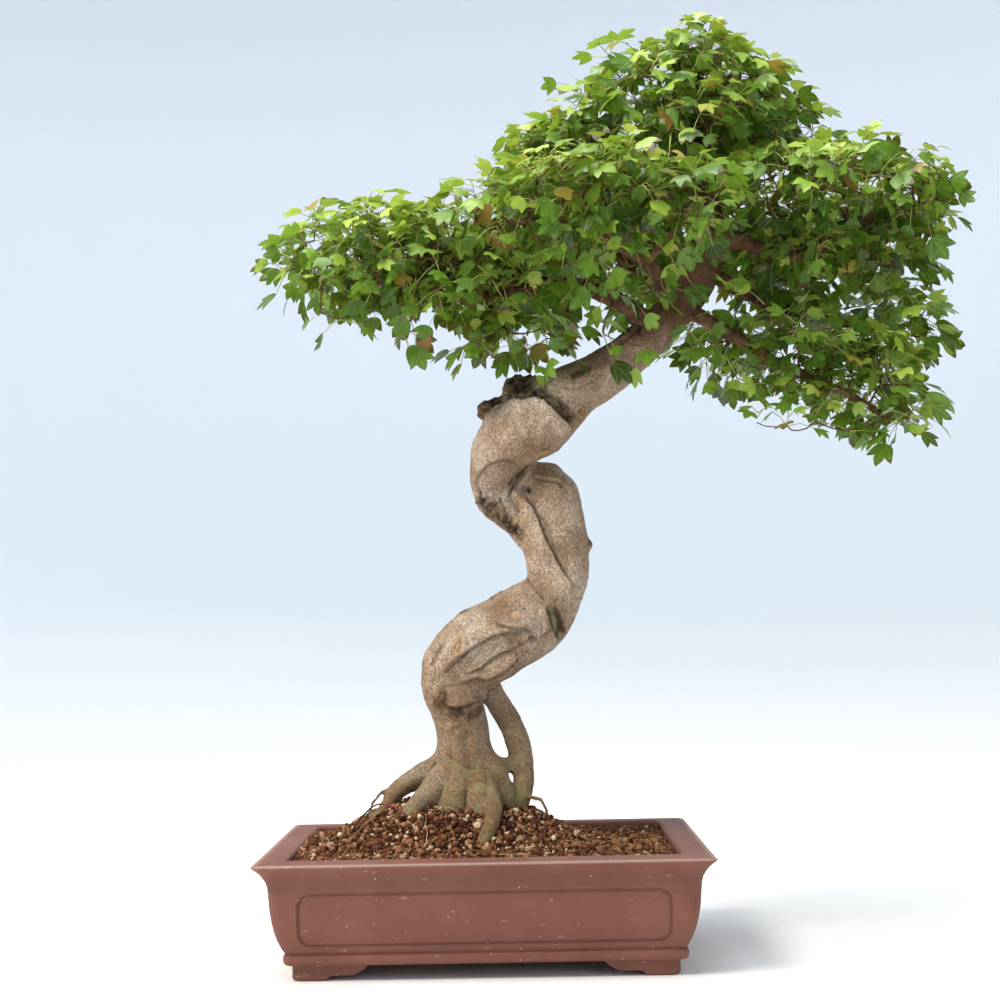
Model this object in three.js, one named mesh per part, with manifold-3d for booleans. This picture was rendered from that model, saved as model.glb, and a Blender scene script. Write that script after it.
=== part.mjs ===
// A trained trident maple in a shallow stoneware pot. Millimetres, +Z up.
// While the pieces are made, the origin is the ground under the middle of the pot: X runs along
// the pot, Y to its back. At the end the whole plant is moved so that the origin is the middle
// of the bottom of its bounding box.

import * as THREE from 'three';
import { mergeVertices } from 'three/addons/utils/BufferGeometryUtils.js';
import Module from 'manifold-3d';

const wasm = await Module();
wasm.setup();

// ---------------------------------------------------------------- driving dimensions

const GAP = 0.4; // clearance between pieces that touch
const SEAM = 0.8; // clearance between faceted limbs and what grows round them

const POT_LENGTH = 500;
const POT_WIDTH = 370;
const POT_CORNER = 20; // corner radius at the rim's outer edge
const CORNER_TAPER = 0.3; // how much of an inset the corner radius loses
const CORNER_STEPS = 5;
const CURVE_STEPS = 3; // straight pieces in each curve of the walls
const FLOOR_TOP = 31;
const UNDERSIDE = 17; // also the height of the feet
const RIM_TOP = 130;
const RIM_EDGE = 128;
const RIM_WIDTH = 34;
const PANEL_DEPTH = 1.5;
const PANEL_LOW = 38;
const PANEL_HIGH = 97;
const PANEL_MARGIN = 48; // from the rim's end to the panel's end
const PANEL_CORNER = 15;
const FOOT_INSET = 38.5;
const FOOT_LENGTH = 85;
const FOOT_THICKNESS = 26;
const FOOT_CORNER = 12;
const DRAIN_RADIUS = 14;
const DRAIN_X = 108;
const WIRE_HOLE_RADIUS = 4;
const WIRE_HOLE_Y = 41;
const WIRE_HOLES_X = [-157, -78];

const SOIL_LEVEL = 119;
const MOUND_RISE = 56;
const MOUND_X = -40;
const MOUND_Y = 10;
const MOUND_HALF_LENGTH = 120; // along X, to half the rise
const MOUND_HALF_WIDTH = 95;
const MOUND_POWER = 4.5;
const SOIL_TOP_RINGS = 9;

const MESH_BARS = 5; // bars each way in a drain mesh
const MESH_PITCH = 10;
const MESH_BAR = 2.4;
const MESH_THICKNESS = 1.4;
const MESH_LAYER = 0.9; // thickness of the bars that run one way
const MESH_HALF = (MESH_BARS * MESH_PITCH) / 2; // to the cut ends of the bars
const CLIP_RADIUS = 0.8;
const TIE_RADIUS = 1.1;
const WIRE_STEPS = 2; // straight pieces between two points of a wire's route

// ---------------------------------------------------------------- wood, as [x, y, z, radius]

// The main limb: root plate, lower column, first bend, then the strand of the second bend.
const MAIN_LIMB = [
  [-20, 12, 72, 30], [-20, 12, 100, 48], [-20, 12, 139, 52], [-21, 12, 174, 44], [-24, 12, 215, 36],
  [-27, 12, 250, 31], [-31, 10, 278, 31], [-38, 8, 304, 35], [-38, 5, 330, 37], [-15, -2, 357, 38],
  [21, -6, 378, 37], [54, -4, 394, 36], [80, 4, 408, 35], [93, 12, 434, 34], [94, 16, 462, 33],
  [91, 20, 499, 34], [82, 22, 530, 39], [71, 25, 547, 34], [54, 24, 551, 25], [36, 20, 546, 17],
];
// The swollen upper joint and the leader that carries the crown.
const LEADER = [
  [29, 26, 518, 13], [15, 22, 530, 19], [11, 14, 554, 25], [20, 0, 581, 33], [40, -10, 603, 40],
  [70, -12, 617, 43], [100, -10, 648, 37], [143, -6, 672, 30], [179, -4, 697, 26], [217, -2, 732, 24],
  [252, 0, 769, 24], [275, 2, 800, 20], [288, 6, 832, 17], [288, 14, 876, 13], [278, 18, 927, 10],
  [269, 14, 978, 8], [272, 6, 1026, 5.4], [277, 0, 1073, 3],
];
// The strands that fuse with the main limb in its two bends.
const LOWER_STRAND = [
  [-50, 0, 321, 24], [-25, -6, 319, 25], [20, -8, 341, 26], [60, -4, 363, 25], [86, 4, 382, 23],
  [98, 10, 403, 19],
];
const UPPER_STRAND = [
  [78, -4, 394, 17], [75, -6, 426, 19], [71, -4, 462, 19], [60, 2, 498, 20], [47, 8, 525, 19],
  [33, 14, 539, 14],
];
// Dead wood that hangs from the joint's lower end onto the second bend.
const DEAD_STRAND = [[10, 16, 524, 13], [27, 13, 509, 14], [43, 9, 495, 13], [56, 7, 476, 12]];
// The second stem leaves the column behind the first bend and returns to the soil on the right.
const SECOND_STEM = [
  [-7, 34, 324, 17], [11, 30, 294, 15], [28, 26, 269, 14.5], [38, 20, 243, 14.5], [44, 16, 217, 14],
  [46, 12, 194, 13], [37, 10, 171, 15], [25, 10, 138, 15], [20, 10, 110, 12],
];
const STEM_BRIDGE = [[4, 10, 216, 12], [22, 12, 215, 9], [40, 14, 213, 9]];
const ROOTS = [
  [[-42, 20, 218, 20], [-68, 12, 206, 17], [-90, 4, 197, 14], [-104, -2, 189, 12],
    [-119, -6, 167, 8], [-140, -12, 142, 6], [-165, -20, 114, 4.5]],
  [[-30, 0, 215, 22], [-52, -16, 198, 18], [-70, -28, 182, 15], [-86, -38, 166, 12.5],
    [-98, -46, 146, 9]],
  [[-30, -8, 202, 24], [-36, -24, 182, 20], [-40, -38, 160, 17], [-42, -44, 136, 13]],
  [[-8, -10, 200, 26], [-6, -26, 182, 21], [-6, -38, 160, 18], [-6, -42, 136, 14]],
  [[-5, 5, 215, 24], [12, 0, 204, 18], [20, -4, 188, 15], [21, -8, 166, 13], [20, -10, 140, 10]],
  [[-6, -14, 196, 20], [4, -34, 184, 15], [10, -52, 170, 11], [8, -68, 156, 10], [0, -84, 142, 9],
    [-8, -98, 129, 8], [-14, -108, 112, 6]],
  [[-6, 34, 200, 22], [6, 58, 182, 15], [10, 82, 160, 11], [18, 104, 134, 8], [24, 116, 108, 6]],
  [[-44, 34, 205, 20], [-66, 52, 186, 15], [-84, 70, 160, 11], [-104, 88, 134, 8], [-118, 98, 108, 6]],
  [[-26, 30, 205, 26], [-30, 52, 184, 19], [-34, 66, 158, 15], [-36, 72, 132, 11]],
];
const THIN_ROOTS = [
  [[45, 2, 197, 3.8], [50, -4, 178, 3.3], [65, -6, 175, 2.7], [72, -6, 161, 2.7], [63, -6, 147, 2.6],
    [58, -6, 128, 2.4]],
  [[-102, 0, 196, 2.9], [-122, -2, 187, 2.4], [-134, -6, 173, 2.3], [-137, -8, 157, 2.1],
    [-138, -9, 126, 2]],
  [[-106, -6, 182, 3.4], [-119, -12, 168, 3.1], [-136, -28, 155, 2.6], [-160, -54, 134, 2.6],
    [-175, -64, 112, 2.3]],
  [[-116, -6, 170, 4], [-133, -14, 152, 3.6], [-152, -24, 136, 3.2], [-174, -34, 116, 2.6]],
];
// Healed cuts and burrs: [x, y, z, radius] or [x, y, z, and a radius for each axis].
const KNOBS = [
  [12, 0, 636, 16, 16, 14], [28, -2, 643, 14, 14, 10], [46, -2, 661, 17], [66, -2, 665, 14],
  [119, -14, 625, 10], [125, 18, 474, 8],
  [-26, -30, 358, 8],
];

const BRANCHES = {
  left_branch: [
    [234, -6, 750, 16], [195, -18, 763, 11], [147, -30, 770, 9.4], [89, -42, 780, 8.7],
    [17, -50, 763, 7], [-25, -50, 780, 6], [-77, -48, 784, 5], [-127, -40, 787, 4], [-176, -30, 800, 2.6],
  ],
  left_branch_fork: [
    [17, -50, 764, 4], [-9, -30, 801, 4.7], [-50, -10, 836, 3.9], [-88, 5, 852, 3], [-126, 15, 856, 2.2],
  ],
  front_branch: [
    [243, -4, 763, 12], [221, -50, 778, 10], [196, -85, 794, 8], [155, -115, 813, 6.7],
    [104, -130, 832, 5], [40, -110, 838, 3.4],
  ],
  front_branch_fork: [[201, -78, 791, 6.3], [221, -115, 818, 5], [240, -145, 845, 3.3]],
  shoulder_branch: [
    [286, 8, 845, 10], [250, 20, 887, 7.2], [203, 30, 922, 6], [143, 38, 952, 4.9], [80, 42, 958, 3],
  ],
  right_upper_branch: [
    [285, 0, 823, 12], [299, -6, 836, 11], [323, -14, 830, 9.5], [349, -20, 818, 8.2],
    [383, -24, 812, 7.1], [435, -22, 832, 5.3], [485, -16, 861, 4.1], [534, -10, 876, 2.6],
  ],
  right_lower_branch: [
    [270, 6, 785, 11], [298, 14, 793, 8.4], [343, 30, 771, 7.9], [396, 44, 754, 6.7],
    [458, 50, 740, 4.9], [520, 46, 716, 3.1],
  ],
  right_drooping_branch: [
    [256, -4, 758, 11], [291, -24, 724, 7.6], [334, -36, 693, 6.4], [378, -44, 666, 5.8],
    [429, -46, 643, 4.6], [480, -44, 612, 2.9],
  ],
  back_left_branch: [
    [259, 4, 778, 12], [232, 60, 797, 9.8], [206, 105, 826, 8.2], [152, 145, 863, 6.4],
    [80, 140, 863, 4.5], [30, 120, 852, 2.8],
  ],
  back_right_branch: [
    [288, 8, 835, 12], [314, 70, 857, 9.3], [356, 120, 865, 7.6], [416, 140, 853, 5.7],
    [484, 128, 862, 3.2],
  ],
};

// ---------------------------------------------------------------- foliage, as ellipsoids
// [x, y, z, half length, half depth, half height]

const FOLIAGE = {
  foliage_left: [
    [-174, -20, 818, 50, 65, 54], [-112, -35, 824, 54, 85, 60], [-120, 40, 818, 50, 50, 50],
    [-60, 20, 830, 50, 70, 54], [-44, -50, 810, 52, 75, 62],
  ],
  foliage_left_inner: [
    [14, -40, 800, 46, 80, 68], [56, -25, 766, 46, 75, 60], [40, 40, 812, 48, 60, 52],
  ],
  foliage_front: [
    [34, -120, 852, 48, 60, 38], [98, -140, 862, 55, 70, 46], [167, -150, 866, 56, 75, 46],
    [235, -142, 852, 54, 70, 46], [140, -125, 815, 55, 60, 34],
  ],
  foliage_shoulder: [
    [84, 30, 940, 50, 75, 46], [140, 5, 960, 54, 80, 50], [150, 80, 940, 52, 55, 44],
  ],
  foliage_apex: [
    [204, -10, 1006, 54, 88, 54], [264, 5, 1046, 60, 92, 56], [328, 10, 1010, 56, 90, 54],
    [380, 0, 972, 40, 65, 36], [262, -68, 966, 64, 52, 40], [280, 76, 976, 66, 52, 44],
  ],
  foliage_right: [
    [372, -56, 888, 56, 76, 46], [440, -50, 894, 57, 82, 46], [520, -30, 884, 50, 76, 46],
    [500, 20, 832, 50, 74, 46],
  ],
  foliage_right_inner: [[400, -20, 826, 48, 72, 36], [362, 44, 812, 44, 56, 34]],
  foliage_lower_right: [
    [296, 24, 718, 50, 66, 38], [377, 10, 704, 50, 78, 48], [452, -10, 673, 54, 80, 50],
    [500, -30, 630, 32, 56, 38], [512, 36, 738, 44, 70, 48],
  ],
  foliage_back_left: [
    [44, 130, 852, 62, 72, 52], [140, 160, 884, 70, 74, 56], [220, 140, 838, 60, 66, 52],
  ],
  foliage_back_right: [
    [335, 156, 890, 66, 74, 56], [424, 140, 840, 62, 74, 56], [496, 122, 880, 52, 66, 50],
  ],
};

// ---------------------------------------------------------------- finishes

const FINISHES = {
  stoneware: { color: 0x7a4b44, roughness: 0.75, metalness: 0 },
  akadama: { color: 0x7d5138, roughness: 1, metalness: 0 },
  bark: { color: 0xa08d78, roughness: 0.85, metalness: 0 },
  branch_bark: { color: 0x7c5a4a, roughness: 0.85, metalness: 0 },
  maple_leaf: { color: 0x5f8f2c, roughness: 0.55, metalness: 0 },
  wire: { color: 0x6d2a3c, roughness: 0.45, metalness: 0.6 },
  mesh_plastic: { color: 0x22262a, roughness: 0.6, metalness: 0 },
};

// ---------------------------------------------------------------- solids and meshes

/** Turns a closed three.js geometry into a solid that can be joined and cut. */
function toSolid(geometry) {
  const bare = geometry.clone();
  bare.deleteAttribute('normal');
  bare.deleteAttribute('uv');
  const merged = mergeVertices(bare, 1e-3);
  return new wasm.Manifold(new wasm.Mesh({
    numProp: 3,
    vertProperties: new Float32Array(merged.attributes.position.array),
    triVerts: new Uint32Array(merged.index.array),
  }));
}

/** Turns a solid back into a three.js geometry. */
function toGeometry(solid) {
  const { vertProperties, triVerts } = solid.getMesh();
  const geometry = new THREE.BufferGeometry();
  geometry.setAttribute('position', new THREE.BufferAttribute(vertProperties, 3));
  geometry.setIndex(new THREE.BufferAttribute(triVerts, 1));
  geometry.computeVertexNormals();
  return geometry;
}

/** Joins a list of solids into one. */
function join(solids) {
  return solids.reduce((whole, solid) => whole.add(solid));
}

/** Makes a named mesh with one of the finishes. */
function piece(name, solid, finish) {
  const mesh = new THREE.Mesh(toGeometry(solid), new THREE.MeshStandardMaterial(FINISHES[finish]));
  mesh.name = name;
  return mesh;
}

/**
 * A closed skin over a stack of rings: a capped cylinder whose vertices are put in their places.
 * place(ring, side, spread) gives the point of side number `side` on ring number `ring`, or the
 * middle of the ring where spread is 0.
 */
function stack(sides, rings, place) {
  const geometry = new THREE.CylinderGeometry(1, 1, rings, sides, rings);
  const position = geometry.attributes.position;
  for (let i = 0; i < position.count; i += 1) {
    const x = position.getX(i);
    const z = position.getZ(i);
    const ring = Math.round(position.getY(i) + rings / 2);
    const turn = Math.atan2(x, z) / (2 * Math.PI);
    const side = (Math.round(turn * sides) + sides) % sides;
    const point = place(ring, side, Math.round(Math.hypot(x, z)));
    position.setXYZ(i, point.x, point.y, point.z);
  }
  return toSolid(geometry);
}

/** A cylinder of the given radius that stands between two heights. */
function rod(x, y, radius, low, high, sides) {
  const geometry = new THREE.CylinderGeometry(radius, radius, high - low, sides);
  geometry.rotateX(Math.PI / 2);
  geometry.translate(x, y, (low + high) / 2);
  return toSolid(geometry);
}

/** A box between two corners. */
function block(low, high) {
  const geometry = new THREE.BoxGeometry(high[0] - low[0], high[1] - low[1], high[2] - low[2]);
  geometry.translate((low[0] + high[0]) / 2, (low[1] + high[1]) / 2, (low[2] + high[2]) / 2);
  return toSolid(geometry);
}

/** A smooth curve through points. Its length is shared out evenly between the points, so that
 * sections along it lie close together where the points do. */
function route(points) {
  const curve = new THREE.CatmullRomCurve3(points.map(([x, y, z]) => new THREE.Vector3(x, y, z)));
  curve.getUtoTmapping = (share) => share;
  return curve;
}

/** A six-sided wire along a smooth curve through the points. */
function wire(points, radius) {
  const section = new THREE.Shape().absarc(0, 0, radius, 0, 2 * Math.PI);
  const steps = WIRE_STEPS * (points.length - 1);
  const settings = { steps, extrudePath: route(points), curveSegments: 3, bevelEnabled: false };
  return toSolid(new THREE.ExtrudeGeometry(section, settings));
}

// ---------------------------------------------------------------- pot

/** The point of a rounded rectangle that is inset from the rim's outline. */
function rimPoint(inset, side, spread, height) {
  const radius = POT_CORNER - CORNER_TAPER * Math.min(inset, RIM_WIDTH);
  const corner = Math.floor(side / (CORNER_STEPS + 1));
  const step = side % (CORNER_STEPS + 1);
  const angle = (corner + step / CORNER_STEPS) * (Math.PI / 2);
  const quarter = (corner + 0.5) * (Math.PI / 2);
  const centreX = Math.sign(Math.cos(quarter)) * (POT_LENGTH / 2 - inset - radius);
  const centreY = Math.sign(Math.sin(quarter)) * (POT_WIDTH / 2 - inset - radius);
  return new THREE.Vector3(
    spread * (centreX + radius * Math.cos(angle)),
    spread * (centreY + radius * Math.sin(angle)),
    height,
  );
}

/** A closed skin over rounded rectangles, each given as {x: inset, y: height}. */
function rimStack(profile) {
  const sides = 4 * (CORNER_STEPS + 1);
  return stack(sides, profile.length - 1, (ring, side, spread) => (
    rimPoint(profile[ring].x, side, spread, profile[ring].y)
  ));
}

/** The outer wall from the underside to the neck, then the lip, as insets and heights. */
function outerProfile(path) {
  path.moveTo(35, UNDERSIDE);
  path.quadraticCurveTo(30, 19, 29.8, 25);
  path.quadraticCurveTo(29.8, 29, 31, 31);
  path.quadraticCurveTo(18, 52, 16, 88);
  path.lineTo(15, 100);
  path.quadraticCurveTo(13, 114, 0.6, RIM_EDGE - 1.5);
}

/** The inner wall under the rim, from the top down to the floor. */
function innerWall() {
  const path = new THREE.Path();
  path.moveTo(RIM_WIDTH + 1, 100);
  path.quadraticCurveTo(RIM_WIDTH + 2, 60, 42, 45);
  path.quadraticCurveTo(48, FLOOR_TOP, 66, FLOOR_TOP);
  return path.getPoints(CURVE_STEPS);
}

/** The shallow panel that is sunk in each wall. */
function panels(body) {
  const outline = (halfLength) => {
    const shape = new THREE.Shape();
    const middle = (PANEL_LOW + PANEL_HIGH) / 2;
    const halfHeight = (PANEL_HIGH - PANEL_LOW) / 2;
    for (const [sideX, sideY, start] of [[1, 1, 0], [-1, 1, 1], [-1, -1, 2], [1, -1, 3]]) {
      const x = sideX * (halfLength - PANEL_CORNER);
      const y = middle + sideY * (halfHeight - PANEL_CORNER);
      shape.absarc(x, y, PANEL_CORNER, start * Math.PI / 2, (start + 1) * Math.PI / 2);
    }
    return shape;
  };
  const settings = { depth: POT_LENGTH * 2, curveSegments: 5, bevelEnabled: false };
  const across = new THREE.ExtrudeGeometry(outline(POT_LENGTH / 2 - PANEL_MARGIN), settings);
  across.rotateX(Math.PI / 2).translate(0, POT_LENGTH, 0);
  const along = new THREE.ExtrudeGeometry(outline(POT_WIDTH / 2 - PANEL_MARGIN), settings);
  along.rotateX(Math.PI / 2).rotateZ(Math.PI / 2).translate(-POT_LENGTH, 0, 0);
  return toSolid(across).add(toSolid(along)).subtract(body);
}

/** One foot: an L of two cloud-shaped plates, rounded on the pot's corner. */
function foot(signX, signY) {
  const cloud = new THREE.Shape();
  cloud.moveTo(0, 0);
  cloud.lineTo(38, 0);
  cloud.quadraticCurveTo(40, 5, 46, 5);
  cloud.lineTo(64, 5);
  cloud.quadraticCurveTo(72, 6, FOOT_LENGTH, UNDERSIDE + 2);
  cloud.lineTo(0, UNDERSIDE + 2);
  const settings = { depth: FOOT_THICKNESS, curveSegments: 4, bevelEnabled: false };
  const plate = () => new THREE.ExtrudeGeometry(cloud, settings).rotateX(Math.PI / 2);
  const alongX = toSolid(plate().translate(0, FOOT_THICKNESS, 0));
  const alongY = toSolid(plate().rotateZ(Math.PI / 2));
  const round = rod(FOOT_CORNER, FOOT_CORNER, FOOT_CORNER, -1, UNDERSIDE + 3, 24);
  const rest = block([FOOT_CORNER, 0, -1], [FOOT_LENGTH, FOOT_LENGTH, UNDERSIDE + 3])
    .add(block([0, FOOT_CORNER, -1], [FOOT_LENGTH, FOOT_LENGTH, UNDERSIDE + 3]));
  const cornerX = POT_LENGTH / 2 - FOOT_INSET;
  const cornerY = POT_WIDTH / 2 - FOOT_INSET;
  const whole = alongX.add(alongY).intersect(round.add(rest));
  const quarter = signX > 0 ? [-1, signY > 0 ? -1 : 1, 1] : [1, signY > 0 ? -1 : 1, 1];
  return whole.scale(quarter).translate([signX * cornerX, signY * cornerY, 0]);
}

/** The pot: walls, lip, sunk panels, four feet, drainage holes and wire holes. */
function makePot() {
  const path = new THREE.Path();
  outerProfile(path);
  path.quadraticCurveTo(0, RIM_EDGE, 2, RIM_EDGE + 0.2);
  path.lineTo(RIM_WIDTH - 1, RIM_TOP);
  path.lineTo(RIM_WIDTH + 0.5, RIM_TOP - 1.5);
  const wall = new THREE.Path();
  outerProfile(wall);
  const shrunk = wall.getPoints(CURVE_STEPS).map(({ x, y }) => ({ x: x + PANEL_DEPTH, y }));
  const profile = [...path.getPoints(CURVE_STEPS), ...innerWall()];
  let pot = rimStack(profile).subtract(panels(rimStack(shrunk)));
  for (const signX of [-1, 1]) {
    for (const signY of [-1, 1]) pot = pot.add(foot(signX, signY));
    pot = pot.subtract(rod(signX * DRAIN_X, 0, DRAIN_RADIUS, 0, FLOOR_TOP + 1, 20));
    for (const x of WIRE_HOLES_X) {
      const y = -signX * WIRE_HOLE_Y;
      pot = pot.subtract(rod(signX * x, y, WIRE_HOLE_RADIUS, 0, FLOOR_TOP + 1, 8));
    }
  }
  return pot;
}

// ---------------------------------------------------------------- soil

/** The height of the soil's surface: level at the walls, a flat-topped mound at the trunk. */
function soilHeight(x, y) {
  const distance = Math.hypot((x - MOUND_X) / MOUND_HALF_LENGTH, (y - MOUND_Y) / MOUND_HALF_WIDTH);
  return SOIL_LEVEL + MOUND_RISE / (1 + distance ** MOUND_POWER);
}

/** The soil: it fills the pot's inside, and its top rings close in on the mound. */
function makeSoil() {
  const wall = innerWall().reverse().map(({ x, y }) => ({ x: x + GAP, y: y + GAP }));
  const edge = RIM_WIDTH + 1 + GAP;
  const sides = 4 * (CORNER_STEPS + 1);
  const rings = wall.length - 1 + SOIL_TOP_RINGS;
  return stack(sides, rings, (ring, side, spread) => {
    if (ring < wall.length) return rimPoint(wall[ring].x, side, spread, wall[ring].y);
    const closing = (ring - wall.length) / SOIL_TOP_RINGS;
    const point = rimPoint(edge, side, spread * (1 - closing), 0);
    point.x += closing * MOUND_X;
    point.y += closing * MOUND_Y;
    point.z = soilHeight(point.x, point.y);
    return point;
  });
}

// ---------------------------------------------------------------- wood and foliage

/** A tapered limb along a smooth curve through its stations, made thicker by grow. */
function limb(stations, sides, stepsPerSpan, grow) {
  const steps = stepsPerSpan * (stations.length - 1);
  const curve = route(stations);
  const frames = curve.computeFrenetFrames(steps);
  const radiusAt = (share) => {
    const place = share * (stations.length - 1);
    const before = Math.min(Math.floor(place), stations.length - 2);
    return THREE.MathUtils.lerp(stations[before][3], stations[before + 1][3], place - before) + grow;
  };
  return stack(sides, steps, (ring, side, spread) => {
    const angle = (side / sides) * 2 * Math.PI;
    const reach = spread * radiusAt(ring / steps);
    return curve.getPointAt(ring / steps)
      .addScaledVector(frames.binormals[ring], reach * Math.sin(angle))
      .addScaledVector(frames.normals[ring], reach * Math.cos(angle));
  });
}

/** A low-faceted ball or ellipsoid. */
function lump([x, y, z, radiusX, radiusY = radiusX, radiusZ = radiusX], grow) {
  const geometry = new THREE.IcosahedronGeometry(1, 1);
  geometry.scale(radiusX + grow, radiusY + grow, radiusZ + grow);
  geometry.translate(x, y, z);
  return toSolid(geometry);
}

/** The trunk with its fused strands, second stem, roots and burrs. */
function makeTrunk(grow) {
  return join([
    limb(MAIN_LIMB, 12, 2, grow),
    limb(LEADER, 10, 2, grow),
    limb(LOWER_STRAND, 8, 2, grow),
    limb(UPPER_STRAND, 8, 2, grow),
    limb(DEAD_STRAND, 6, 1, grow),
    limb(SECOND_STEM, 8, 2, grow),
    limb(STEM_BRIDGE, 6, 1, grow),
    ...ROOTS.map((root) => limb(root, 6, 1, grow)),
    ...THIN_ROOTS.map((root) => limb(root, 5, 1, grow)),
    ...KNOBS.map((knob) => lump(knob, grow)),
  ]);
}

/** One branch, as thick as given, without the wood that it grows from. */
function makeBranch(name, grow) {
  return limb(BRANCHES[name], 6, 1, grow);
}

/** One cloud of foliage, made bigger by grow. */
function makeCloud(name, grow) {
  return join(FOLIAGE[name].map((ellipsoid) => lump(ellipsoid, grow)));
}

// ---------------------------------------------------------------- mesh, clips and tie wire

/** The plastic mesh that keeps the soil off a drainage hole: crossed bars with cut ends. */
function makeDrainMesh(x) {
  const low = FLOOR_TOP + GAP;
  const bars = [];
  for (let i = 0; i < MESH_BARS; i += 1) {
    const middle = (i - (MESH_BARS - 1) / 2) * MESH_PITCH;
    const [near, far] = [middle - MESH_BAR / 2, middle + MESH_BAR / 2];
    bars.push(block([x - MESH_HALF, near, low], [x + MESH_HALF, far, low + MESH_LAYER]));
    const [bottom, top] = [low + MESH_THICKNESS - MESH_LAYER, low + MESH_THICKNESS];
    bars.push(block([x + near, -MESH_HALF, bottom], [x + far, MESH_HALF, top]));
  }
  return join(bars);
}

/** The clip that holds a drain mesh: a flat loop on it, and legs bent out under the floor. */
function makeMeshClip(x) {
  const above = FLOOR_TOP + 2 * GAP + MESH_THICKNESS + CLIP_RADIUS;
  const below = UNDERSIDE - GAP - CLIP_RADIUS;
  const leg = MESH_PITCH / 2;
  const half = [
    [24, leg, below], [leg + 3, leg, below], [leg + 0.8, leg, below + 0.8], [leg, leg, below + 3],
    [leg, leg, above - 3], [leg + 0.8, leg, above - 0.8], [leg + 3, leg, above], [13, 4, above],
    [16, -2, above], [12, -8, above],
  ];
  const right = half.map(([along, y, z]) => [x + along, y, z]);
  const left = half.map(([along, y, z]) => [x - along, y, z]).reverse();
  return wire([...right, [x, -9, above], ...left], CLIP_RADIUS);
}

/** The wire that ties the roots down: it goes over them and through the pot's floor twice. */
function makeTieWire(radius) {
  const y = -WIRE_HOLE_Y;
  const below = UNDERSIDE - GAP - TIE_RADIUS;
  const bend = (x, inwards) => [
    [x + 34 * inwards, y, below], [x + 3 * inwards, y, below],
    [x + 0.8 * inwards, y, below + 0.8], [x, y, below + 3],
  ];
  const [left, right] = WIRE_HOLES_X;
  return wire([
    ...bend(left, 1), [left, y, 80], [left, y, 141], [-138, y + 1, 167], [-126, y, 176],
    [-112, y - 4, 177], [-94, y - 11, 168], [right, y - 13, 150], [right, y, 90],
    ...bend(right, -1).reverse(),
  ], radius);
}

// ---------------------------------------------------------------- the plant

/** Wood that has been made so far, thickened for clearance, so that later pieces keep off it. */
function growWood() {
  const trunk = makeTrunk(0);
  const pieces = [piece('trunk', trunk, 'bark')];
  let wood = makeTrunk(SEAM);
  for (const name of Object.keys(BRANCHES)) {
    pieces.push(piece(name, makeBranch(name, 0).subtract(wood), 'branch_bark'));
    wood = wood.add(makeBranch(name, SEAM));
  }
  return { pieces, wood };
}

/** The clouds of foliage, each cut back from the wood and from the clouds before it. */
function growFoliage(wood) {
  const pieces = [];
  let taken = wood;
  for (const name of Object.keys(FOLIAGE)) {
    pieces.push(piece(name, makeCloud(name, 0).subtract(taken), 'maple_leaf'));
    taken = taken.add(makeCloud(name, SEAM));
  }
  return pieces;
}

/** The soil, cut back from everything that stands in it. */
function fillPot(wood) {
  const half = MESH_HALF + GAP;
  const top = FLOOR_TOP + MESH_THICKNESS + 3 * GAP + 2 * CLIP_RADIUS;
  let soil = makeSoil().subtract(wood);
  for (const x of [-DRAIN_X, DRAIN_X]) {
    soil = soil.subtract(block([x - half, -half, FLOOR_TOP], [x + half, half, top]));
  }
  return soil.subtract(makeTieWire(TIE_RADIUS + SEAM));
}

const bonsai = new THREE.Group();
const { pieces: woodPieces, wood } = growWood();
bonsai.add(piece('pot', makePot(), 'stoneware'));
bonsai.add(piece('soil', fillPot(wood), 'akadama'));
bonsai.add(...woodPieces);
bonsai.add(...growFoliage(wood));
bonsai.add(piece('tie_wire', makeTieWire(TIE_RADIUS), 'wire'));
for (const [side, x] of [['left', -DRAIN_X], ['right', DRAIN_X]]) {
  bonsai.add(piece(`drain_mesh_${side}`, makeDrainMesh(x), 'mesh_plastic'));
  bonsai.add(piece(`mesh_clip_${side}`, makeMeshClip(x), 'wire'));
}

const box = new THREE.Box3().setFromObject(bonsai);
const middle = box.getCenter(new THREE.Vector3());
bonsai.position.set(-middle.x, -middle.y, -box.min.z);

export default bonsai;
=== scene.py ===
"""A trained trident maple in an unglazed stoneware pot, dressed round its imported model.

Lengths are metres and +Z is up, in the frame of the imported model. Sizes given in millimetres have
names or types that say so and are scaled by MM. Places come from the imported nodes' own boxes.
"""

import logging
import math
from collections.abc import Callable, Sequence
from dataclasses import dataclass, field
from enum import Enum, auto
from functools import partial

import bmesh
import bpy
import numpy as np
from mathutils import Euler, Matrix, Vector
from mathutils.bvhtree import BVHTree


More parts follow.
